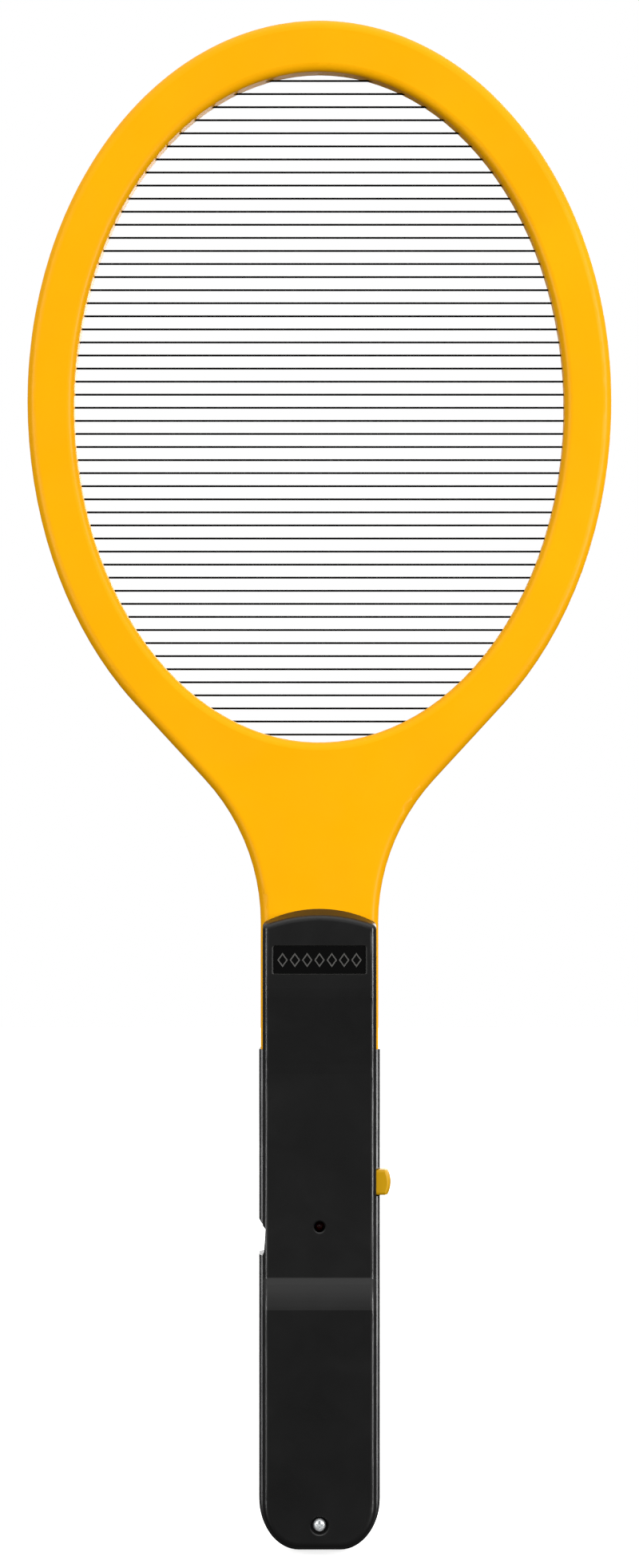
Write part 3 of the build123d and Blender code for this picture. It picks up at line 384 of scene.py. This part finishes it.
# %% [markdown]
# ## Bands along a piece
#
# A battery, a diode or a resistor is one turned shape in several materials: bare metal at the
# ends, a printed or dipped middle. A colour ramp along the piece's axis paints them. Its stops
# are places in millimetres measured from the piece's own box, so the bands stay where they belong
# if the size changes.

# %% Ramps along an axis
AXES = {"X": 0, "Y": 1, "Z": 2}
TINNED_LEG = "#C4C2BA"


def along(tree, axis, low, high):
    """How far a point is between two places on an axis, from 0 to 1."""
    place = add(tree, "TexCoord").outputs["Object"]
    value = add(tree, "SeparateXYZ", {"Vector": place}).outputs[axis]
    values = {"Value": value, "From Min": low, "From Max": high}
    return add(tree, "MapRange", values, clamp=True).outputs["Result"]


def bands(tree, axis, limits, stops):
    """Steps of colour: each stop is (place in metres, colour)."""
    low, high = limits
    ramp = add(tree, "ValToRGB", {"Fac": along(tree, axis, low, high)})
    ramp.color_ramp.interpolation = "CONSTANT"
    elements = ramp.color_ramp.elements
    elements[0].color = stops[0][1]
    for number, (place, colour) in enumerate(stops[1:]):
        share = (place - low) / (high - low)
        if number == 0:
            elements[1].position = share
            elements[1].color = colour
        else:
            elements.new(share).color = colour
    return ramp.outputs["Color"]


def two_part(name, node, axis, joins, colours, metal_first, roughness):
    """A piece in two or three lengths, such as legs, body, legs: bare metal and a coating."""
    material, tree, shader = new_material(name, colours[0], roughness, ior=1.5)
    limits = [corner[AXES[axis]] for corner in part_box(node)]
    places = [limits[0]] + joins
    tin = srgb(TINNED_LEG)
    tones, metal = [], []
    for number, place in enumerate(places):
        bare = (number % 2 == 0) == metal_first
        tones.append((place, tin if bare else srgb(colours[0])))
        metal.append((place, (1, 1, 1, 1) if bare else (0, 0, 0, 1)))
    lumps = spread(tree, noise(tree, 2.5, 3.0), 0.0, 0.5)
    colour = bands(tree, axis, limits, tones)
    shade = mix(tree, lumps, colour, srgb(colours[1]))
    is_metal = bands(tree, axis, limits, metal)
    tree.links.new(mix(tree, is_metal, shade, tin), shader.inputs["Base Color"])
    tree.links.new(is_metal, shader.inputs["Metallic"])
    patches = spread(tree, noise(tree, 3.0), roughness - 0.05, roughness + 0.08)
    tree.links.new(patches, shader.inputs["Roughness"])
    relief(tree, shader, [(noise(tree, 2.2, 1.0), 0.12), (noise(tree, 0.5), 0.01)])
    return material, tree, shader


print("ramps ready")

# %% [markdown]
# ## Metals
#
# Drawn wire has fine scratches along its length from the die. Strip and contacts are stamped from
# sheet, so their scratches run one way. A metal's colour is its reflection, so each keeps the
# default IOR and differs in tint, roughness and the direction of its marks.

# %% A function for metals
MARK_DEPTH_MM = 0.006


def worked_metal(name, colour, stain, roughness, stretch, mark_mm=0.5):
    """Metal with marks drawn out along the way it was worked, and a slow stain."""
    material, tree, shader = new_material(name, colour, roughness, metallic=1.0)
    cloud = spread(tree, noise(tree, 4.0, 3.0), 0.0, 0.8)
    tree.links.new(mix(tree, cloud, srgb(colour), srgb(stain)), shader.inputs["Base Color"])
    marks = noise(tree, mark_mm, 3.0, stretch)
    tree.links.new(spread(tree, marks, roughness - 0.06, roughness + 0.10), shader.inputs["Roughness"])
    relief(tree, shader, [(marks, MARK_DEPTH_MM)])
    return material, tree, shader


# Darkened steel wire: near black, with a thin grey glint along the top.
grid_steel, _, _ = worked_metal("drawn_steel_wire_darkened", "#0E0D0D", "#090808", 0.30, (0.04, 1, 1))
# Tinned strip: soft, pale and slightly blotched where the tin ran.
tinned, _, _ = worked_metal("rolled_strip_tinned", "#C9C8C2", "#A9A69C", 0.34, (1, 1, 0.1), 1.2)
spring_steel, _, _ = worked_metal("drawn_spring_wire", "#8E8C88", "#6E6B66", 0.33, (0.2, 1, 1))
nickel, _, _ = worked_metal("stamped_strip_nickel_plated", "#C8C3B8", "#AFA99B", 0.24, (1, 1, 0.1), 0.8)
print("four worked metals")

# %% [markdown]
# ## Screws
#
# The screws are cold-headed, then zinc plated and dipped in a clear chromate, which adds a faint
# blue tint. The chromate film scatters part of the light like a thin white paint, so the shader is
# only a little more than half metal. That keeps the sunken cover screw bright. Tiny turning rings
# run round the axis. They are drawn about twice as coarse as they are.

# %% Zinc-plated screws
RING_PITCH_MM = 0.25
ZINC, ZINC_SHADE = "#F2F4F4", "#DFE3E6"


def zinc_screw(name, centre):
    """Bright zinc with rings round an axis that runs front to back through the centre."""
    material, tree, shader = new_material(name, ZINC, 0.40, metallic=0.55)
    place = add(tree, "TexCoord").outputs["Object"]
    flat = add(tree, "VectorMath", {0: place, 1: centre}, operation="SUBTRACT").outputs[0]
    waves = {"Vector": flat, "Scale": 0.5 / (RING_PITCH_MM * MM), "Distortion": 0.4}
    rings = add(tree, "TexWave", waves, wave_type="RINGS", rings_direction="Y").outputs[1]
    tint = spread(tree, noise(tree, 1.5, 2.0), 0.0, 0.6)
    tree.links.new(mix(tree, tint, srgb(ZINC), srgb(ZINC_SHADE)), shader.inputs["Base Color"])
    tree.links.new(spread(tree, rings, 0.36, 0.50, 0.0, 1.0), shader.inputs["Roughness"])
    relief(tree, shader, [(rings, 0.004), (noise(tree, 0.6), 0.01)])
    return material


def middle_of(node):
    """The middle of a piece's box."""
    low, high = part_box(node)
    return (low + high) / 2


cover_zinc = zinc_screw("zinc_plated_cover_screw", middle_of("cover_screw"))
hidden_zinc = zinc_screw("zinc_plated_inner_screws", middle_of("tongue_screws"))
board_zinc = zinc_screw("zinc_plated_board_screws", middle_of("board_screws"))
print("cover screw at", [round(part, 4) for part in middle_of("cover_screw")])

# %% [markdown]
# ## The circuit board
#
# The board is paper laminate under green lacquer. Copper tracks run below the lacquer and show as
# paler lines with a slight step. A brick pattern drawn with wide bricks gives straight runs and
# short links about 0.5 mm wide, at a spacing of 2.5 mm, which is what such a board has. Its cut
# edges have no lacquer, so they show the tan laminate.

# %% Lacquered board
TRACK_ROW_MM = 2.5
TRACK_WIDTH_MM = 0.5
LACQUER, LAMINATE = "#12451F", "#B89A63"

board_green, tree, shader = new_material("lacquered_paper_laminate", LACQUER, 0.22, ior=1.52)
place = add(tree, "TexCoord")
turned = add(tree, "Mapping", {"Vector": place.outputs["Object"], "Rotation": (math.pi / 2, 0, 0)})
bricks = {
    "Vector": turned.outputs["Vector"], "Scale": 1 / (TRACK_ROW_MM * MM), "Color1": (0, 0, 0, 1),
    "Color2": (0, 0, 0, 1), "Mortar": (1, 1, 1, 1), "Mortar Size": TRACK_WIDTH_MM / TRACK_ROW_MM / 2,
    "Mortar Smooth": 0.1, "Brick Width": 3.1, "Row Height": 1.0,
}
tracks = add(tree, "TexBrick", bricks).outputs["Color"]
lacquer = mix(tree, spread(tree, noise(tree, 12.0), 0.0, 1.0), srgb(LACQUER), srgb("#0E3A1B"))
face = mix(tree, tracks, lacquer, srgb("#2C6B33"))
facing = add(tree, "SeparateXYZ", {"Vector": place.outputs["Normal"]}).outputs["Y"]
size = add(tree, "Math", {0: facing}, operation="ABSOLUTE").outputs[0]
is_cut = spread(tree, size, 1.0, 0.0, 0.4, 0.6)
tree.links.new(mix(tree, is_cut, face, srgb(LAMINATE)), shader.inputs["Base Color"])
tree.links.new(spread(tree, is_cut, 0.2, 0.7, 0.0, 1.0), shader.inputs["Roughness"])
relief(tree, shader, [(tracks, 0.035), (noise(tree, 0.8), 0.01)])
print("track rows every", TRACK_ROW_MM, "mm")

# %% [markdown]
# ## The transformer
#
# Its core is sintered ferrite, a grey-black ceramic as dull as slate with a fine pitted skin. The
# winding is enamelled copper, hundreds of turns of 0.08 mm wire. They are drawn 0.45 mm wide, as
# fine as the eye can follow here, and a wave texture along the coil's axis gives the ridges, and
# painted shade in the gaps between the turns, where a darker brown stands for their shadow.

# %% Ferrite
FERRITE, FERRITE_SPECK = "#2E2E31", "#3B3B3F"

ferrite, tree, shader = new_material("sintered_ferrite", FERRITE, 0.62, ior=1.7)
specks = spread(tree, noise(tree, 0.6, 5.0), 0.0, 1.0)
tree.links.new(mix(tree, specks, srgb(FERRITE), srgb(FERRITE_SPECK)), shader.inputs["Base Color"])
tree.links.new(spread(tree, specks, 0.55, 0.72, 0.0, 1.0), shader.inputs["Roughness"])
relief(tree, shader, [(noise(tree, 0.6, 4.0), 0.02)])
print("ferrite ready")

# %% Enamelled copper
TURN_MM = 0.45

copper_winding, tree, shader = new_material("enamelled_copper_wire", "#B4562A", 0.3, metallic=0.85)
place = add(tree, "TexCoord").outputs["Object"]
turns = {"Vector": place, "Scale": 1 / (TURN_MM * MM) / 2, "Distortion": 0.3, "Detail": 1.0}
ridges = add(tree, "TexWave", turns, wave_type="BANDS", bands_direction="X").outputs[1]
# Painted shade: the gaps between turns are painted dark brown, the ridges bright copper.
tree.links.new(mix(tree, ridges, srgb("#5A2412"), srgb("#C0622F")), shader.inputs["Base Color"])
tree.links.new(spread(tree, ridges, 0.5, 0.25, 0.0, 1.0), shader.inputs["Roughness"])
relief(tree, shader, [(ridges, 0.08)])
print("winding drawn with turns of", TURN_MM, "mm")

# %% [markdown]
# ## Dipped and moulded components
#
# The film and disc capacitors are dipped in epoxy, which runs before it sets and leaves a glossy,
# lumpy skin. Diodes and the transistor are moulded in matt black epoxy, the resistors are lacquered
# and banded, and the lamp is clear tinted epoxy. All stand on tinned legs, which the ramps along
# each piece's axis leave bare.

# %% Components
def from_middle(node, axis, *shares_mm):
    """Places on an axis, in metres, measured in millimetres from the middle of a piece."""
    centre = middle_of(node)[AXES[axis]]
    return [centre + share * MM for share in shares_mm]


def legs_behind(node, length_mm):
    """Where the legs start on a part that stands on the board: so far from its rear end."""
    return [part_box(node)[1][1] - length_mm * MM]


film_red, _, _ = two_part(
    "dipped_epoxy_red_brown", "discharge_capacitor", "Y", legs_behind("discharge_capacitor", 0.8),
    ("#7E2413", "#64190D"), False, 0.16)
ceramic_blue, _, _ = two_part(
    "dipped_epoxy_blue", "multiplier_capacitors", "Y", legs_behind("multiplier_capacitors", 1.2),
    ("#1F5FA8", "#184A86"), False, 0.18)
transistor_black, _, _ = two_part(
    "moulded_epoxy_black", "switching_transistor", "Y", legs_behind("switching_transistor", 3.2),
    ("#1C1C1D", "#252526"), False, 0.5)
print("legs left bare on three kinds")

# %% Diodes
BODY_HALF_DIODE = 2.5
CATHODE_BAND_MM = (1.1, 1.9)   # from the middle of the body

diode_black, tree, shader = two_part(
    "moulded_epoxy_diode", "rectifier_diodes", "Z",
    from_middle("rectifier_diodes", "Z", -BODY_HALF_DIODE, BODY_HALF_DIODE),
    ("#1B1B1C", "#242425"), True, 0.42)
limits = [corner[2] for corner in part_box("rectifier_diodes")]
mark_from, mark_to = from_middle("rectifier_diodes", "Z", *CATHODE_BAND_MM)
stops = [(limits[0], (0, 0, 0, 1)), (mark_from, (1, 1, 1, 1)), (mark_to, (0, 0, 0, 1))]
mark = bands(tree, "Z", limits, stops)
colour = shader.inputs["Base Color"].links[0].from_socket
tree.links.new(mix(tree, mark, colour, srgb("#B9BABC")), shader.inputs["Base Color"])
print("cathode bands drawn")

# %% Resistors
BODY_HALF_RESISTOR = 2.8
LACQUER_TAN = "#C9AE7C"
RING_COLOURS = ["#7A3B12", "#151515", "#C7651B", "#B08A2A"]
RING_MM = 0.52                 # width of a ring, and of the gap before it
RINGS_FROM_MM, RINGS_TO_MM = -2.0, 2.1

resistor_tan, tree, shader = two_part(
    "lacquered_resistor", "resistors", "X",
    from_middle("resistors", "X", -BODY_HALF_RESISTOR, BODY_HALF_RESISTOR),
    (LACQUER_TAN, "#BFA270"), True, 0.24)
limits = [corner[0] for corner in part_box("resistors")]
stops = [(limits[0], srgb(LACQUER_TAN))]
for number, code in enumerate(RING_COLOURS):
    gap_at = RINGS_FROM_MM + 2 * RING_MM * number
    gap_x, ring_x = from_middle("resistors", "X", gap_at, gap_at + RING_MM)
    stops += [(gap_x, srgb(LACQUER_TAN)), (ring_x, srgb(code))]
stops += [(from_middle("resistors", "X", RINGS_TO_MM)[0], srgb(LACQUER_TAN))]
rings = bands(tree, "X", limits, stops)
mask = shader.inputs["Metallic"].links[0].from_socket
tree.links.new(mix(tree, mask, rings, srgb(TINNED_LEG)), shader.inputs["Base Color"])
print(len(RING_COLOURS), "rings on each resistor")

# %% The lamp
led_red, tree, shader = two_part(
    "tinted_clear_epoxy_red", "indicator_led", "Y", legs_behind("indicator_led", 5.5),
    ("#5A0806", "#420504"), False, 0.12)
shader.inputs["Transmission Weight"].default_value = 0.35

# %% [markdown]
# ## The batteries
#
# Two AA cells in printed shrink sleeve. The sleeve is glossy PVC over a steel can, with a copper
# band at the positive end and a thin pale line below it. It is shrunk round the shoulder, so the
# bare can shows at the ends. The bands run along Z from each cell's own box. The right-hand cell
# stands on its cap.

# %% Cell sleeves
CAN, COPPER_BAND, PALE_LINE, SLEEVE = "#C9C9C6", "#A8642E", "#E2E2DE", "#1C2A44"
# Each band: where it starts, in millimetres from the cap, its colour, and 1 where it is bare metal.
FROM_CAP = [(0.0, CAN, 1), (1.6, COPPER_BAND, 0), (14.0, PALE_LINE, 0), (14.7, SLEEVE, 0), (49.2, CAN, 1)]


def cell_finish(name, node, cap_up):
    """Sleeve, positive band and bare ends, from the cell's cap downwards."""
    material, tree, shader = new_material(name, SLEEVE, 0.2, ior=1.53)
    low, high = [corner[2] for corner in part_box(node)]
    total = (high - low) / MM
    edges = [place for place, _, _ in FROM_CAP[1:]]
    kinds = FROM_CAP
    if cap_up:
        edges = [total - edge for edge in edges][::-1]
        kinds = FROM_CAP[::-1]
    places = [low] + [low + edge * MM for edge in edges]
    tones = [(place, srgb(kind[1])) for place, kind in zip(places, kinds)]
    metal = [(place, (kind[2],) * 3 + (1,)) for place, kind in zip(places, kinds)]
    colour = bands(tree, "Z", (low, high), tones)
    scuffs = spread(tree, noise(tree, 6.0, 5.0, (1, 1, 0.3)), 0.0, 0.25, 0.55, 0.75)
    tree.links.new(mix(tree, scuffs, colour, srgb("#8A8D94")), shader.inputs["Base Color"])
    tree.links.new(bands(tree, "Z", (low, high), metal), shader.inputs["Metallic"])
    tree.links.new(spread(tree, scuffs, 0.18, 0.4, 0.0, 0.25), shader.inputs["Roughness"])
    relief(tree, shader, [(noise(tree, 7.0, 2.0, (1, 1, 0.25)), 0.04)])
    return material


left_sleeve = cell_finish("printed_sleeve_left_cell", "battery_cell_left", True)
right_sleeve = cell_finish("printed_sleeve_right_cell", "battery_cell_right", False)
print("two cells banded")

# %% [markdown]
# ## Leads
#
# Thin PVC-insulated wire: smooth, a little greasy, and slightly uneven along its length where the
# strands inside press through.

# %% Insulated leads
def insulation(name, colours):
    """Extruded PVC over stranded wire."""
    material, tree, shader = new_material(name, colours[0], 0.32, ior=1.53)
    cloud = spread(tree, noise(tree, 5.0, 2.0), 0.0, 1.0)
    tree.links.new(mix(tree, cloud, srgb(colours[0]), srgb(colours[1])), shader.inputs["Base Color"])
    tree.links.new(spread(tree, cloud, 0.28, 0.4, 0.0, 1.0), shader.inputs["Roughness"])
    relief(tree, shader, [(noise(tree, 1.2, 1.0, (1, 1, 0.3)), 0.03)])
    return material


lead_red = insulation("extruded_pvc_red", ("#B3120E", "#960D0B"))
lead_black = insulation("extruded_pvc_black", ("#161616", "#1F1F1F"))
print("two insulation colours")

# %% [markdown]
# ## Giving each piece its finish
#
# A CAD piece keeps its shape, and only its material is exchanged.

# %% Assign the finishes
FINISHES = {
    "frame_front_half": yellow_abs, "frame_rear_half": yellow_abs,
    "live_grid_wires": grid_steel, "return_grid_wires": grid_steel,
    "live_bus_strip": tinned, "return_bus_strip": tinned,
    "front_cover": cover_abs, "rear_shell": black_abs, "cover_screw": cover_zinc,
    "tongue_screws": hidden_zinc, "board_screws": board_zinc, "power_button": mustard_abs,
    "switch_housing": switch_black, "switch_plunger": plunger_white, "circuit_board": board_green,
    "transformer_core": ferrite, "transformer_bobbin": bobbin_nylon,
    "transformer_winding": copper_winding, "discharge_capacitor": film_red,
    "multiplier_capacitors": ceramic_blue, "rectifier_diodes": diode_black,
    "resistors": resistor_tan, "switching_transistor": transistor_black,
    "indicator_led": led_red, "battery_cell_left": left_sleeve, "battery_cell_right": right_sleeve,
    "cell_plate_contact": nickel, "cell_spring_contact": nickel, "cell_link_contact": nickel,
    "live_lead": lead_red, "return_lead": lead_black,
    "battery_lead_positive": lead_red, "battery_lead_negative": lead_black,
}
for node, material in FINISHES.items():
    for slot in nodes[node].material_slots:
        slot.material = material
print(len(FINISHES), "pieces finished;", sorted(set(nodes) - set(FINISHES)), "is remade below")

# %% [markdown]
# ## Broken edges
#
# No mould has a perfectly sharp corner. A small bevel on the sharp edges of the handle's pieces
# gives each of them the thin line of light that the eye expects.

# %% Break the sharp edges
BREAK_MM = {"rear_shell": 0.22, "front_cover": 0.16, "power_button": 0.15}
SHARPER_THAN = 38              # degrees

for node, width_mm in BREAK_MM.items():
    soften = nodes[node].modifiers.new("broken_edges", "BEVEL")
    soften.width = width_mm * MM
    soften.segments = 2
    soften.limit_method = "ANGLE"
    soften.angle_limit = math.radians(SHARPER_THAN)
    soften.harden_normals = False
print("edges broken on", ", ".join(BREAK_MM))

# %% [markdown]
# ## The button's return spring
#
# The spring is the one part that changes shape: it is squeezed when the button goes in. A rigid
# coil would poke through the switch. It is remade here as a curve with a round section and turned
# into a mesh. Its end turns are closed up flat, as they are on a real compression spring.

# %% Wind the spring
SPRING_TURNS = 4.5
WIRE_MM = 0.22                 # radius of the wire
POINTS_PER_TURN = 24
END_CLOSURE = 0.75             # 0 is an even pitch, 1 closes the end turns right up

low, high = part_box("button_return_spring")
axis_y, axis_z = (low.y + high.y) / 2, (low.z + high.z) / 2
coil_radius = (high.y - low.y) / 2 - WIRE_MM * MM
start_x, end_x = low.x + WIRE_MM * MM, high.x - WIRE_MM * MM
count = int(SPRING_TURNS * POINTS_PER_TURN)
spring_curve = bpy.data.curves.new("button_spring_coil", "CURVE")
spring_curve.dimensions = "3D"
spring_curve.bevel_depth = WIRE_MM * MM
spring_curve.bevel_resolution = 4
spring_curve.use_fill_caps = True
spline = spring_curve.splines.new("POLY")
spline.points.add(count)
for number in range(count + 1):
    share = number / count
    # Closed end turns: the pitch starts and ends slowly.
    eased = share - math.sin(2 * math.pi * share) / (2 * math.pi) * END_CLOSURE
    turn = 2 * math.pi * SPRING_TURNS * share
    spline.points[number].co = (
        start_x + (end_x - start_x) * eased,
        axis_y + coil_radius * math.cos(turn),
        axis_z + coil_radius * math.sin(turn),
        1.0,
    )
print(count + 1, "points along the coil")

# %% Turn it into a mesh
coil_object = bpy.data.objects.new("coil_draft", spring_curve)
bpy.context.scene.collection.objects.link(coil_object)
bpy.context.view_layer.update()
spring_mesh = bpy.data.meshes.new_from_object(coil_object)
bpy.data.objects.remove(coil_object)
spring = bpy.data.objects.new("button_spring_coil", spring_mesh)
bpy.context.scene.collection.objects.link(spring)
spring_mesh.materials.clear()
spring_mesh.materials.append(spring_steel)
for polygon in spring_mesh.polygons:
    polygon.use_smooth = True
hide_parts("button_return_spring")
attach(spring, "handle_and_head")

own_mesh(spring)

# %% [markdown]
# ## Solder
#
# Each lead ends in a small dome of solder on the board. A lathe-like mesh, low and wide at its
# foot, gives the concave skirt that wetted solder has.

# %% Solder joints
SOLDER_PROFILE_MM = [(1.25, 0.0), (0.95, 0.10), (0.72, 0.32), (0.52, 0.62), (0.28, 0.84), (0.0, 0.90)]
AROUND = 20


def solder_mesh(name, places, face_y):
    """Domes on the board's front face, one at each (x, z)."""
    vertices, faces = [], []
    for x, z in places:
        first = len(vertices)
        for radius, rise_mm in SOLDER_PROFILE_MM[:-1]:
            for step in range(AROUND):
                angle = 2 * math.pi * step / AROUND
                across = x + radius * MM * math.cos(angle)
                up = z + radius * MM * math.sin(angle)
                vertices.append((across, face_y - rise_mm * MM, up))
        rows = len(SOLDER_PROFILE_MM) - 1
        for row in range(rows - 1):
            for step in range(AROUND):
                after = (step + 1) % AROUND
                a, b = first + row * AROUND + step, first + row * AROUND + after
                faces.append((a, b, b + AROUND, a + AROUND))
        top = len(vertices)
        vertices.append((x, face_y - SOLDER_PROFILE_MM[-1][1] * MM, z))
        last = first + (rows - 1) * AROUND
        faces += [(last + step, last + (step + 1) % AROUND, top) for step in range(AROUND)]
        faces.append(tuple(first + step for step in range(AROUND))[::-1])
    mesh = bpy.data.meshes.new(name)
    mesh.from_pydata(vertices, [], faces)
    for polygon in mesh.polygons:
        polygon.use_smooth = True
    return mesh


print("solder dome", 2 * SOLDER_PROFILE_MM[0][0], "mm across its foot")

# %% Place one on each lead's end
LEAD_RADIUS = 0.7 * MM
LEAD_TIP = 0.4 * MM            # from the end of the lead to the middle of its joint

board_face_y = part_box("circuit_board")[0].y
joints_at = []
for lead_name in ("live_lead", "return_lead", "battery_lead_positive", "battery_lead_negative"):
    low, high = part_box(lead_name)
    side = 1 if low.x > 0 else -1
    inner_x = low.x if side > 0 else high.x
    from_battery = lead_name.startswith("battery")
    end_z = high.z - LEAD_TIP if from_battery else low.z + LEAD_TIP
    joints_at.append((inner_x + side * LEAD_RADIUS, end_z))
print("joints at", [(round(x / MM, 1), round(z / MM, 1)) for x, z in joints_at])

# %% Solder metal
SOLDER, SOLDER_DULL = "#C3C4C4", "#9C9D9D"

solder_metal, tree, shader = new_material("reflowed_solder", SOLDER, 0.22, metallic=1.0)
grey = spread(tree, noise(tree, 1.4), 0.0, 0.8)
tree.links.new(mix(tree, grey, srgb(SOLDER), srgb(SOLDER_DULL)), shader.inputs["Base Color"])
tree.links.new(spread(tree, noise(tree, 0.9, 3.0), 0.16, 0.42), shader.inputs["Roughness"])
relief(tree, shader, [(noise(tree, 0.7, 2.0), 0.02)])
solder_domes = solder_mesh("lead_solder_joints", joints_at, board_face_y)
solder = bpy.data.objects.new("lead_solder_joints", solder_domes)
solder.data.materials.append(solder_metal)
bpy.context.scene.collection.objects.link(solder)
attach(solder, "handle_and_head")
print(len(joints_at), "solder joints")
